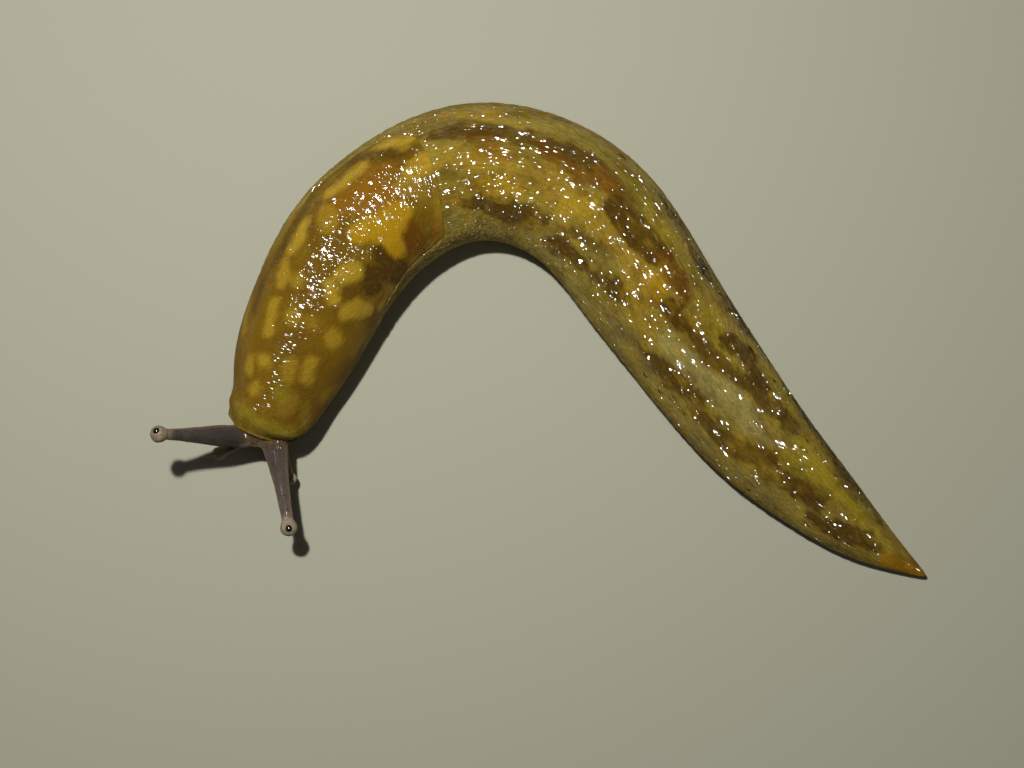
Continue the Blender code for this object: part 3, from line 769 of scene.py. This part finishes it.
def nearest_station(points):
    """Distance along the middle line of the place on it nearest to each point."""
    fine = np.linspace(-2.0, LENGTH + 0.5, 4800)
    line = spine(fine)[:, :2]
    found = np.empty(len(points))
    for start in range(0, len(points), 4000):
        chunk = points[start:start + 4000, :2]
        away = ((chunk[:, None, :] - line[None]) ** 2).sum(axis=2)
        found[start:start + 4000] = fine[away.argmin(axis=1)]
    return found


def angle_round(points, s):
    """Angle round the trunk of each point, as in section()."""
    width, height = spine(s)[:, 2:].T
    middle = widest_place(s)[0]
    up = points[:, 2] - middle
    tall = np.where(up > 0, height - middle, UNDERCUT * middle)
    angle = np.arctan2(up / tall, side_of(points, s) / np.maximum(width, 0.3))
    return np.where(angle < -pi / 2, angle + 2 * pi, angle)


def feeler_places(points):
    """For each feeler: its name, and of each point the distance along it, away and round it."""
    for name in FEELERS:
        root, _, along, right, up = feeler_frame(name)
        out = points - root
        level, tall = out @ right, out @ up
        yield name, out @ along, np.hypot(level, tall), np.arctan2(tall, level)


def head_axes():
    """Unit vectors at the snout: ahead, to the animal's right and up."""
    ahead = np.append(spine(0.0)[:2] - spine(1.0)[:2], 0.0)
    return ahead / np.linalg.norm(ahead), np.append(across(0.5), 0.0), np.array((0.0, 0.0, 1.0))


def head_cores():
    """Bodies that overlap, from which the skin of the head is fused."""
    ahead, right, up = head_axes()
    behind, beside, height = LIP_PLACE
    cores = [make_head_core(), make_neck_core(), make_foot_core()]
    for side in (-1, 1):
        centre = place(HEAD_START + behind, side * beside, height)
        cores.append(add_object("lip", ball("lip", centre, LIP_SIZE, (right, ahead, up))))
    return cores + [make_feeler(name) for name in FEELERS]


def with_mouth(points):
    """Points pressed in along the slit of the mouth and between the lips."""
    ahead, right, up = head_axes()
    out = points - place(HEAD_START, 0.0, MOUTH_HEIGHT)
    beside, before, above = out @ right, out @ ahead, out @ up
    slit = np.exp(-(above / 0.17) ** 2 - (beside / 0.7) ** 4) * smoothstep((before + 1.0) / 0.6)
    parting = np.exp(-(beside / 0.14) ** 2) * smoothstep((above + 0.1) / 0.3)
    parting = parting * smoothstep((1.1 - above) / 0.5) * smoothstep((before + 0.9) / 0.6)
    return points - ahead * (MOUTH_DEPTH * slit + PARTING_DEPTH * parting)[:, None]


def cut_square(mesh):
    """Cut off what lies behind the stitch."""
    away = spine(CUT_AT + 0.05) - spine(CUT_AT - 0.05)
    work = bmesh.new()
    work.from_mesh(mesh)
    everything = work.verts[:] + work.edges[:] + work.faces[:]
    bmesh.ops.bisect_plane(work, geom=everything, plane_co=Vector(place(CUT_AT, 0.0, 0.0)),
                           plane_no=Vector((away[0], away[1], 0.0)).normalized(), clear_outer=True)
    work.to_mesh(mesh)
    work.free()


def make_head_mesh():
    """Head, neck, front of the foot and feelers as one smooth surface, cut square behind."""
    mesh = fuse(head_cores(), HEAD_GRAIN)
    edges = rows_of(mesh.edges, "vertices", 2, np.int64)
    points = smoothed(mesh_points(mesh), edges, 8)
    joint = smoothstep(1.5 - np.abs(nearest_station(points) - HEAD_END) / 0.8)
    for name, distance, away, _ in feeler_places(points):
        near = smoothstep(1.6 - np.abs(distance - 0.4) / 1.1)
        joint = np.maximum(joint, near * smoothstep(2.6 - away / FEELERS[name][3][0]))
    points = relaxed(points, edges, 0.6 * joint[:, None], 14)
    set_points(mesh, with_mouth(points))
    cut_square(mesh)
    return mesh


def nearest_on_ring(ring, flat):
    """For each point of a plane, the nearest point on a closed line through the ring's points."""
    steps = np.roll(ring, -1, axis=0) - ring
    towards = flat[:, None, :] - ring
    share = np.clip((towards * steps).sum(axis=2) / np.maximum((steps ** 2).sum(axis=1), 1e-12), 0, 1)
    found = ring + share[..., None] * steps
    best = np.argmin(((found - flat[:, None, :]) ** 2).sum(axis=2), axis=1)
    return found[np.arange(len(flat)), best]


def meet_trunk(mesh, rows=11):
    """Draw the end of the head's skin onto the trunk's sections, so that the two meet exactly."""
    points = mesh_points(mesh)
    s = nearest_station(points)
    stations = np.linspace(CUT_AT - MEETING, CUT_AT, rows)
    sides, heights, _ = skin_ring(stations)
    share = smoothstep((s - stations[0]) / MEETING)[:, None]
    row = np.minimum(np.rint((s - stations[0]) / MEETING * (rows - 1)), rows - 1)
    for number in range(rows):
        own = row == number
        flat = np.stack((side_of(points[own], s[own]), points[own, 2]), axis=-1)
        ring = np.stack((sides[number], heights[number]), axis=-1)
        flat = flat + (nearest_on_ring(ring, flat) - flat) * share[own]
        points[own] = place(s[own], flat[:, 0], flat[:, 1])
    set_points(mesh, points)


def make_skin():
    """Skin of the whole animal: the trunk's rings stitched to the head, and closed at the tail."""
    s = trunk_stations()
    sides, heights, angles = skin_ring(s)
    shrink = np.sqrt(np.clip(1 - ((s - LENGTH + 0.5) / 0.5).clip(0) ** 2, 0.02, 1))[:, None]
    middle = heights.mean(axis=1, keepdims=True)
    rings = place(s[:, None], sides * shrink, middle + (heights - middle) * shrink)
    rows, columns = rings.shape[:2]
    faces = grid_faces(rows, columns).tolist()
    faces.append(list(range((rows - 1) * columns, rows * columns)))
    head = make_head_mesh()
    meet_trunk(head)
    work = bmesh.new()
    work.from_mesh(make_mesh("trunk", rings.reshape(-1, 3), faces))
    work.from_mesh(head)
    bmesh.ops.bridge_loops(work, edges=[edge for edge in work.edges if edge.is_boundary])
    bmesh.ops.recalc_face_normals(work, faces=work.faces)
    return from_work(work, "slug_skin"), s, angles


def seen_place(x, y):
    """Distance along the body and over the back of the skin that is seen from above at x, y."""
    point = np.array([[x, y]])
    s = nearest_station(point)
    angle = np.arccos(np.clip(side_of(point, s) / spine(s)[:, 2], -0.97, 0.97))
    return s[0], over_back(s, angle)[0]


def stroke_mask(s, over, places, wobble, soft):
    """Share of a marking at each point of the skin, given its places as seen from above."""
    path = [(*seen_place(x, y), radius) for x, y, radius in places]
    if len(path) == 1:
        path = path * 2
    nearest = np.full(s.shape, 9.0)
    for (s0, over0, thick0), (s1, over1, thick1) in zip(path, path[1:]):
        length = max((s1 - s0) ** 2 + (over1 - over0) ** 2, 1e-9)
        share = np.clip(((s - s0) * (s1 - s0) + (over - over0) * (over1 - over0)) / length, 0, 1)
        away = np.hypot(s - s0 - share * (s1 - s0), over - over0 - share * (over1 - over0))
        nearest = np.minimum(nearest, away - (thick0 + (thick1 - thick0) * share))
    return smoothstep(0.5 - (nearest + wobble) / (2 * soft))


def mixed(colour, tone, share):
    """Colours drawn towards a tone, named or given, by a share for each point."""
    tone = np.array(TONES[tone]) if isinstance(tone, str) else tone
    return colour + (tone - colour) * share[:, None]


def paint_strokes(colour, strokes, s, over, seed, ragged, soft):
    """Colours with a list of strokes painted over them, whose edges are ragged and soft."""
    where = np.stack((s, over), axis=-1)
    wobble = 0.26 * noise(where, 1.1, seed) + 0.2 * noise(where * (0.6, 1), 0.45, seed + 1)
    wobble = wobble + 0.2 * noise(where * (0.5, 1), 0.22, seed + 2)
    for tone, strength, *places in strokes:
        colour = mixed(colour, tone, strength * stroke_mask(s, over, places, ragged * wobble, soft))
    return colour


def low_flank(s, angle, reach):
    """1 at the groove over the foot and 0 from reach above it, or less where the body is low."""
    low = lowest_angle(s)
    above = np.minimum(angle - low, pi - low - angle) * girth_radius(s)
    tall = np.clip(spine(s)[..., 3] / FULL_HEIGHT, 0.1, 1.0)
    return 1 - smoothstep(above / (reach * tall ** 1.5))


def trunk_colour(s, angle):
    """Colour of the trunk's skin from its place alone."""
    over = over_back(s, angle)
    where = np.stack((s, over), axis=-1)
    streaks = layered(where * (0.28, 1.0), 0.9, 31)
    colour = np.tile(TONES["moss"], (len(s), 1))
    colour = mixed(colour, "brown", 0.6 * smoothstep(0.4 + 0.9 * layered(where * (0.6, 1), 2.4, 35)))
    flank = low_flank(s, angle, 4.5)
    colour = mixed(colour, "tan", 0.75 * flank)
    colour = mixed(colour, "flank", 0.75 * low_flank(s, angle, 3.0))
    colour = paint_strokes(colour, TRUNK_STROKES, s, over, 40, 1.2, 0.32)

    # Mottle, blotches and the shade between the tubercles.
    mottle = layered(where * (0.55, 1), 1.3, 45)
    colour = mixed(colour, "dark", 0.3 * smoothstep(2.2 * mottle - 0.1))
    colour = mixed(colour, "yellow", 0.2 * smoothstep(-2.2 * mottle - 0.2) * (1 - flank))
    blotches = layered(where * (0.5, 1), 0.6, 55)
    colour = mixed(colour, "dark", 0.35 * smoothstep(2.5 * blotches - 0.35))
    colour = mixed(colour, "yellow", 0.22 * smoothstep(-2.5 * blotches - 0.35))
    colour = colour * (1 + 0.16 * streaks)[:, None]
    colour = colour * (1 + (0.12 + 0.5 * flank) * (tubercles(s, angle) - 0.5))[:, None]

    # Ribs along the flanks, in colour only: pale stripes, partly the skin's own and partly painted glints,
    # and painted light and shade of the ribs.
    ribs = np.sin(2 * pi * (over + 0.25 * noise(where, 2.0, 51)) / RIB_SPACING)
    ribs = ribs * (0.6 + 0.4 * streaks)
    colour = mixed(colour, "pale", 0.8 * low_flank(s, angle, 7.0) * smoothstep(1.6 * ribs - 0.2))
    return colour * (1 + (0.1 + 0.45 * flank) * ribs)[:, None]


def near_feeler(name, distance, away):
    """1 on one feeler and 0 on the rest of the head."""
    return smoothstep((distance + 0.3) / 1.2) * smoothstep(2.4 - away / FEELERS[name][3][0])


def feeler_share(points):
    """1 on the feelers and 0 on the rest of the head."""
    near = [near_feeler(name, distance, away) for name, distance, away, _ in feeler_places(points)]
    return np.max(near, axis=0)


def head_colour(points, s, angle):
    """Colour of the head's skin: brown-grey, with grey feelers and paler bulbs."""
    fine = layered(points, 0.5, 61)
    feeler_tone, bulb_tone = np.array(TONES["feeler"]), np.array(TONES["bulb"])
    colour = np.tile(TONES["head"], (len(points), 1))
    colour = mixed(colour, "tan", 0.35 * smoothstep(0.5 + fine) * smoothstep(2.6 - points[:, 2]))
    colour = mixed(colour, trunk_colour(s, angle), smoothstep((s - 3.0) / 3.0))
    for name, distance, away, around in feeler_places(points):
        # Painted light: each feeler's colour is made brighter or darker by its own factor, standing in for
        # how it is lit; its stalk is also darker towards its root.
        shade, reach = FEELER_PAINTED_LIGHT[name], feeler_length(name)
        near = near_feeler(name, distance, away)
        # Painted rim light: the stalk's sides are painted paler, towards the bulb's tone, as if lit
        # through.
        edge = np.cos(around)[:, None] ** 6
        stalk = feeler_tone * (1 - edge) + 0.8 * bulb_tone * edge
        stalk = stalk * shade * (0.75 + 0.4 * np.clip(distance / reach, 0, 1))[:, None]
        colour = mixed(colour, stalk, near)
        end = near * smoothstep((distance - reach + 1.5) / 1.3)
        colour = mixed(colour, bulb_tone * shade ** 0.4, end)
    specks = noise(points, 0.2, 71)
    return colour * (1 + 0.2 * specks + 0.1 * fine)[:, None]


def skin_colour(points, s, angle, heads):
    """Colour of every point of the skin, where heads marks the points of the head."""
    colour = np.empty((len(points), 3))
    trunk = ~heads
    colour[trunk] = trunk_colour(s[trunk], angle[trunk])
    colour[heads] = head_colour(points[heads], s[heads], angle[heads])
    height, top = points[:, 2], foot_top(s)
    fringe = np.array(TONES["fringe"]) * (0.85 + 0.25 * noise(points, 0.35, 81))[:, None]
    colour = mixed(colour, fringe, smoothstep((top + GAP - 0.05 - height) / 0.12))
    # Painted shade: a thin black line along the groove over the foot.
    groove = np.exp(-((height - top - 0.5 * GAP) / 0.13) ** 2) * smoothstep((s - 0.8) / 0.6)
    inner = np.abs(side_of(points, s)) < foot_width(s) - 0.12
    colour = mixed(colour, "black", 0.7 * groove * inner)
    return mixed(colour, "sole", smoothstep((0.2 - height) / 0.2))


def set_colour(mesh, colour):
    """Store a colour for each point."""
    layer = mesh.color_attributes.new("tint", "FLOAT_COLOR", "POINT")
    whole = np.concatenate((np.clip(colour, 0.002, 1), np.ones((len(colour), 1))), axis=1)
    layer.data.foreach_set("color", whole.astype(np.float32).ravel())


def store(mesh, name, values):
    """Store a number or a vector for each point."""
    kind, field = ("FLOAT", "value") if values.ndim == 1 else ("FLOAT_VECTOR", "vector")
    layer = mesh.attributes.new(name, kind, "POINT")
    layer.data.foreach_set(field, values.astype(np.float32).ravel())


def set_film(mesh, wet, unrest, ribbed, wet_from):
    """Store how wet the skin is, and how high its domes are and how they lean.

    The domes are steeper on ribbed flanks, and flat where the skin turns downwards. The
    film thins where the upward part of the skin's normal is near wet_from or less.
    """
    above = mesh_normals(mesh)[:, 2]
    turned = smoothstep((above - 0.1) / 0.35)
    flank = 1 - smoothstep((above - 0.5) / 0.45)
    store(mesh, "wet", wet * (0.2 + 0.8 * smoothstep((above - wet_from) / 0.4)))
    store(mesh, "swell", (0.25 + 0.75 * turned) * (1 + ribbed * flank))
    store(mesh, "unrest", unrest * (0.2 + 0.8 * turned) * (1 + 0.35 * ribbed * flank))


def new_material(name):
    material = bpy.data.materials.new(name)
    material.use_nodes = True
    return material, material.node_tree


def fill(tree, node, inputs):
    """Link the sockets of other nodes to a node's inputs, and set its other inputs."""
    for key, given in inputs.items():
        if isinstance(given, bpy.types.NodeSocket):
            tree.links.new(given, node.inputs[key])
        else:
            node.inputs[key].default_value = given


def add_node(tree, kind, inputs, operation=None):
    """Add a shader node, fill its inputs, by name or number, and return its outputs."""
    node = tree.nodes.new("ShaderNode" + kind)
    if operation:
        node.operation = operation
    fill(tree, node, inputs)
    return node.outputs


def calculate(tree, operation, *numbers):
    return add_node(tree, "Math", dict(enumerate(numbers)), operation)["Value"]


def stored(tree, name):
    """Outputs with the values that store() and set_colour() gave the mesh."""
    node = tree.nodes.new("ShaderNodeAttribute")
    node.attribute_name = name
    return node.outputs


def skin_material(name, dome, dome_height):
    """Wet skin: grained colour below, and above it a clear coat that lies in small domes.

    dome gives the lengths of a dome along and across the body. The mesh brings the tint, how
    wet the skin is, the swell of its domes, and unrest, the share of their lean at each point.
    """
    material, tree = new_material(name)
    scale = (1 / dome[0], 1 / dome[1], 1 / dome[1])
    place_in_domes = {"Vector": stored(tree, "skin_place")["Vector"], "Scale": scale}
    where = add_node(tree, "Mapping", place_in_domes)["Vector"]

    grain = {"Vector": where, "Scale": 2.2, "Detail": 3.0, "Roughness": 0.75}
    specks = add_node(tree, "TexNoise", grain)["Fac"]
    spread = {"Value": specks, "From Min": 0.3, "From Max": 0.7, "To Min": 0.7, "To Max": 1.3}
    shade = add_node(tree, "MapRange", spread)["Result"]
    tint = stored(tree, "tint")["Color"]
    colour = add_node(tree, "VectorMath", {0: tint, "Scale": shade}, "SCALE")["Vector"]
    soft = {"Height": specks, "Strength": 0.6, "Distance": 0.03 * S}

    # Domes of different heights, each a cap of a paraboloid.
    cell = add_node(tree, "TexVoronoi", {"Vector": where, "Scale": 1.0})
    squared = calculate(tree, "POWER", cell["Distance"], 2.0)
    dome_shape = calculate(tree, "SUBTRACT", DOME_REACH ** 2, squared)
    dome_shape.node.use_clamp = True
    own = add_node(tree, "SeparateColor", {"Color": cell["Color"]})["Blue"]
    varied = calculate(tree, "MULTIPLY", dome_shape, calculate(tree, "ADD", own, LOWEST_DOME))
    swollen = calculate(tree, "MULTIPLY", varied, stored(tree, "swell")["Fac"])
    film = {"Height": swollen, "Strength": 1.0, "Distance": dome_height * S}

    # Each dome leans its own way.
    centred = add_node(tree, "VectorMath", {0: cell["Color"], 1: (0.5, 0.5, 0.5)}, "SUBTRACT")["Vector"]
    lean = calculate(tree, "MULTIPLY", stored(tree, "unrest")["Fac"], DOME_LEAN)
    leaning = add_node(tree, "VectorMath", {0: centred, "Scale": lean}, "SCALE")["Vector"]
    raised = add_node(tree, "Bump", film)["Normal"]
    tilted = add_node(tree, "VectorMath", {0: raised, 1: leaning}, "ADD")["Vector"]
    facing = add_node(tree, "VectorMath", {0: tilted}, "NORMALIZE")["Vector"]

    fill(tree, tree.nodes["Principled BSDF"], {
        "Base Color": colour,
        "Roughness": 0.6,
        "Normal": add_node(tree, "Bump", soft)["Normal"],
        "Specular IOR Level": 0.0,
        "Subsurface Weight": 0.3,
        "Subsurface Radius": (1.0, 0.6, 0.25),
        "Subsurface Scale": 0.4 * S,
        "Coat Weight": stored(tree, "wet")["Fac"],
        "Coat Roughness": 0.12,
        "Coat IOR": 1.65,
        "Coat Normal": facing,
    })
    return material


def finish_piece(name, mesh, material, replaced):
    """Scale a mesh from millimetres, dress it and let it ride with the body."""
    mesh.transform(Matrix.Scale(S, 4))
    mesh.shade_smooth()
    mesh.materials.clear()
    mesh.materials.append(material)
    piece = add_object(name, mesh)
    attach(piece, "root")
    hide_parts(*replaced)


def add_body_skin():
    """Skin of the head, trunk, feelers and foot, with its colours and its film."""
    mesh, stations, ring_angles = make_skin()
    points = mesh_points(mesh)
    heads = np.arange(len(points)) >= ring_angles.size
    s = np.empty(len(points))
    angle = np.empty(len(points))
    s[~heads] = np.repeat(stations, ring_angles.shape[1])
    angle[~heads] = ring_angles.ravel()
    s[heads] = nearest_station(points[heads])
    lower = heads | (angle < ON_FOOT + 0.01)
    angle[lower] = angle_round(points[lower], s[lower])
    grain = 0.014 * noise(points[heads], 0.3, 91) + 0.01 * noise(points[heads], 0.2, 92)
    fade = smoothstep(CUT_AT - s[heads])[:, None]
    points[heads] += mesh_normals(mesh)[heads] * grain[:, None] * fade
    points[:, 2] = np.maximum(points[:, 2], 0.0)
    mesh.vertices.foreach_set("co", points.ravel())
    set_colour(mesh, skin_colour(points, s, angle, heads))
    places = np.stack((s, over_back(s, angle), np.zeros(len(s))), axis=-1)
    places[heads] = points[heads]
    store(mesh, "skin_place", places)

    feeler = feeler_share(points) * heads
    low = smoothstep((foot_top(s) + GAP - points[:, 2]) / 0.2)
    dry = np.maximum(FLANK_DRY * low_flank(s, angle, 4.0), 0.8 * low)
    unrest = (1 + 0.7 * smoothstep((s - 45) / 35)) * (1 - 0.7 * feeler)
    wet = (1 - dry) * (1 - 0.88 * feeler) * (1 - 0.7 * smoothstep((s - TIP_DRIES_FROM) / 3))
    set_film(mesh, wet, unrest, 3.0, 0.25)
    flesh = [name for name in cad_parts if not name.startswith(("eye_", "mantle"))]
    finish_piece("slug_skin", mesh, skin_material("wet_skin", *TRUNK_DOMES), flesh)


def mantle_place(u, v, rise=0.0):
    """Point of the mantle: u from front rim to rear rim, v from right rim -1 to left rim 1."""
    s = MANTLE_FRONT + u * (MANTLE_REAR - MANTLE_FRONT)
    for _ in range(5):
        angle = pi / 2 + v * (pi / 2 - mantle_side(s))
        front, rear = mantle_ends(angle - pi / 2)
        s = front + u * (rear - front)
    side, height = section(s, angle, rise)
    return place(s, side, height), s, angle


def mantle_relief(s, angle):
    """How far the mantle rises, its ridges from 0 to 1, and the distance to its breathing hole.

    The ridges run round a middle behind the mantle's own, and the hole's edge is at 1.
    """
    over = over_back(s, angle)
    where = np.stack((s, over), axis=-1)
    out_s = (s - MANTLE_CENTRE) / np.where(s < MANTLE_CENTRE, 2.3, 1.6)
    away = np.hypot(out_s, over) + 0.35 * noise(where, 2.2, 41) + 0.12 * noise(where, 0.8, 42)
    ring = away / RIDGE_SPACING
    turn = np.arctan2(over, out_s)
    column = turn * (np.floor(ring) + 0.5) * RIDGE_SPACING / 0.6
    column = column + 3 * hashed(lattice(43), np.floor(ring))
    ridge = np.sin(pi * ring) ** 2 * (0.6 + 0.4 * np.sin(pi * column) ** 2)
    half_length, half_height, depth = BREATHING_HOLE
    rim = over_back(BREATHING_HOLE_AT, mantle_side(BREATHING_HOLE_AT))
    hole = np.hypot((s - BREATHING_HOLE_AT) / half_length, (over - rim) / half_height)
    behind = s - mantle_ends(angle - pi / 2)[0]
    above = smoothstep(2 * np.sin(angle))
    rise = RIDGE_HEIGHT * (ridge - 0.5)
    rise = rise - depth * smoothstep((1.0 - hole) / 0.5) + 0.1 * np.exp(-((hole - 1.25) / 0.25) ** 2)
    rise = rise - FRONT_DROOP * (1 - smoothstep(behind / 1.3)) * above
    rise = rise + FRONT_SWELL * np.exp(-((behind - 1.4) / 1.3) ** 2) * above
    return rise, ridge, hole


def mantle_colour(s, angle, over, ridge):
    """Colour of the mantle's skin: its strokes, a paler rim, fine streaks near the rim, and painted shade
    between the ridges.
    """
    where = np.stack((s, over), axis=-1)
    colour = np.tile(TONES["olive"], (len(s), 1))
    colour = mixed(colour, "brown", smoothstep(0.5 + 0.8 * layered(where, 2.6, 51)))
    inside = inside_mantle(s, angle)
    colour = mixed(colour, "ochre", 0.5 * smoothstep((1.3 - inside) / 0.8))
    colour = paint_strokes(colour, MANTLE_STROKES, s, over, 55, 0.6, 0.42)
    streaks = layered(where * (0.25, 1.0), 0.5, 57)
    near_rim = smoothstep((2.2 - inside) / 1.2)
    colour = colour * (1 + (0.08 + 0.2 * near_rim) * streaks)[:, None]
    # Painted light and shade: the ridges' crests are painted a little lighter than their furrows.
    return colour * (0.97 + 0.05 * ridge)[:, None]


def mantle_grid(rows=340, columns=170):
    """Places u and v all over the mantle, within its rounded rim."""
    inset_u, inset_v = RIM_RADIUS / 30, RIM_RADIUS / 7
    along = np.linspace(inset_u, 1 - inset_u, rows)
    over = np.linspace(inset_v - 1, 1 - inset_v, columns)
    return np.meshgrid(along, over, indexing="ij")


def rim_rows(rim, u, v, radius, middle):
    """Rows of points that round off the mantle's rim and lead back underneath it."""
    normal = mantle_place(u, v, 0.1)[0] - mantle_place(u, v)[0]
    normal /= np.linalg.norm(normal, axis=1, keepdims=True)
    tangent = np.roll(rim, -3, axis=0) - np.roll(rim, 3, axis=0)
    outward = np.cross(tangent, normal)
    outward /= np.linalg.norm(outward, axis=1, keepdims=True)
    if ((rim - middle) * outward).sum() < 0:
        outward = -outward
    rows = [rim + radius[:, None] * (np.sin(turn) * outward - (1 - np.cos(turn)) * normal)
            for turn in np.radians(np.linspace(22, 180, 8))]
    for share, depth in ((0.97, 0.5), (0.9, 0.62), (0.7, MANTLE_DEPTH), (0.4, MANTLE_DEPTH)):
        rows.append(mantle_place(0.5 + share * (u - 0.5), share * v, -depth)[0])
    return np.array(rows)


def mantle_faces(index, loop, rows):
    """Faces of the grid, of the rows round its rim, and of the fan that closes them below."""
    quads = np.stack((index[:-1, :-1], index[1:, :-1], index[1:, 1:], index[:-1, 1:]), axis=-1)
    faces = quads.reshape(-1, 4).tolist()
    before = loop
    for row in range(rows):
        here = index.size + row * len(loop) + np.arange(len(loop))
        ring = np.stack((before, np.roll(before, -1), np.roll(here, -1), here), axis=-1)
        faces += ring.tolist()
        before = here
    below = np.full(len(loop), index.size + rows * len(loop))
    return faces + np.stack((before, np.roll(before, -1), below), axis=-1).tolist()


def add_mantle():
    """Mantle with its rounded rim, its colours and its film."""
    u, v = mantle_grid()
    _, s, angle = mantle_place(u, v)
    rise, ridge, hole = mantle_relief(s, angle)
    top = mantle_place(u, v, rise)[0]
    index = np.arange(u.size).reshape(u.shape)
    loop = np.concatenate((index[0, :-1], index[:-1, -1], index[-1, :0:-1], index[:0:-1, 0]))
    middle = top[u.shape[0] // 2, u.shape[1] // 2]
    top = top.reshape(-1, 3)
    rows = rim_rows(top[loop], u.ravel()[loop], v.ravel()[loop], rim_radius(s.ravel()[loop]), middle)
    below = mantle_place(np.array([0.5]), np.array([0.0]), -MANTLE_DEPTH)[0]
    points = np.concatenate((top, rows.reshape(-1, 3), below))
    mesh = turned_outward(make_mesh("mantle_skin", points, mantle_faces(index, loop, len(rows))))

    def everywhere(values, last):
        """Values of all points: the rows below take the rim's, and their middle takes the last."""
        values = values.ravel()
        return np.concatenate((values, np.tile(values[loop], len(rows)), [last]))

    s, angle, hole = everywhere(s, MANTLE_CENTRE), everywhere(angle, pi / 2), everywhere(hole, 9.0)
    ridge = np.append(ridge, np.zeros(len(s) - ridge.size))
    over = over_back(s, angle)
    colour = mantle_colour(s, angle, over, ridge)
    # Painted shade: the breathing hole is painted black inside its rim.
    set_colour(mesh, mixed(colour, "black", 0.9 * smoothstep((1.0 - hole) / 0.4)))
    spread = over * (0.5 + 0.5 * smoothstep((s - 8) / 8))
    store(mesh, "skin_place", np.stack((s, spread, np.zeros(len(s))), axis=-1))
    unrest = 0.05 + 0.75 * smoothstep((6 - s) / 3) + 0.6 * smoothstep((s - 9) / 12)
    wet = 0.9 * (1 - 0.85 * low_flank(s, angle, 5.0))
    set_film(mesh, wet, unrest, 0.0, 0.52)
    finish_piece("mantle_skin", mesh, skin_material("wet_mantle", *MANTLE_DOMES), ["mantle"])


def eye_material():
    """Nearly black, under a glossy coat."""
    material, tree = new_material("eye")
    where = add_node(tree, "TexCoord", {})["Object"]
    depth = add_node(tree, "TexNoise", {"Vector": where, "Scale": 4000.0})["Fac"]
    colour = add_node(tree, "ValToRGB", {"Fac": depth})["Color"]
    darkest, palest = colour.node.color_ramp.elements
    darkest.color = (0.003, 0.002, 0.002, 1)
    palest.color = (0.012, 0.009, 0.008, 1)
    fill(tree, tree.nodes["Principled BSDF"], {
        "Base Color": colour,
        "Roughness": 0.3,
        "Specular IOR Level": 0.1,
        "Coat Weight": 0.8,
        "Coat Roughness": 0.05,
        "Coat IOR": 2.1,
    })
    return material


def add_eyes():
    material = eye_material()
    for side in ("right", "left"):
        _, bulb, along, right, up = feeler_frame("upper_" + side)
        outward = right if side == "right" else -right
        forward, beside, above = EYE_LEAN[side]
        look = along * forward + outward * beside + up * above
        look /= np.linalg.norm(look)
        bulb_radius = FEELERS["upper_" + side][2]
        centre = bulb + look * (bulb_radius - EYE_SUNK * EYE_RADIUS)
        mesh = ball("eyeball_" + side, centre, (EYE_RADIUS, EYE_RADIUS, EYE_RADIUS))
        finish_piece("eyeball_" + side, mesh, material, ["eye_" + side])


def add_camera():
    data = bpy.data.cameras.new("camera")
    data.lens = LENS
    data.sensor_width = 36.0
    data.clip_start = 0.005
    camera = add_object("camera", data)
    camera.location = Vector(CAMERA_OVER) * S
    bpy.context.scene.camera = camera


def add_light(name, at, size, power, colour=(1, 1, 1), lights=True, glints=True):
    """Round lamp that faces the middle of the frame, to light things or to show as glints."""
    data = bpy.data.lights.new(name, "AREA")
    data.shape = "DISK"
    data.size = size * S
    data.energy = power
    data.color = colour
    light = add_object(name, data)
    light.location = Vector(at) * S
    light.visible_diffuse = lights
    light.visible_glossy = glints
    light.rotation_mode = "QUATERNION"
    light.rotation_quaternion = Vector(at).to_track_quat("Z", "Y")


def add_floor():
    work = bmesh.new()
    bmesh.ops.create_grid(work, x_segments=1, y_segments=1, size=1.5)
    floor = add_object("floor", from_work(work, "floor"))
    material, tree = new_material("floor")
    tone = {"Base Color": (0.385, 0.383, 0.295, 1), "Roughness": 0.85}
    fill(tree, tree.nodes["Principled BSDF"], tone)
    floor.data.materials.append(material)


def add_world():
    world = bpy.data.worlds.new("studio")
    world.use_nodes = True
    dim = {"Color": (1.0, 0.93, 0.84, 1), "Strength": 0.024}
    fill(world.node_tree, world.node_tree.nodes["Background"], dim)
    bpy.context.scene.world = world
    bpy.context.scene.view_settings.view_transform = "Standard"


def main():
    add_body_skin()
    add_mantle()
    add_eyes()
    add_camera()
    add_floor()
    add_world()
    add_light("key", KEY_LIGHT_AT, size=8, power=0.33, colour=(1.0, 0.98, 0.94), glints=False)
    add_light("glints", KEY_LIGHT_AT, size=32, power=0.36, lights=False)
    add_light("fill", FILL_LIGHT_AT, size=260, power=0.03, colour=(1.0, 0.92, 0.82), glints=False)


main()
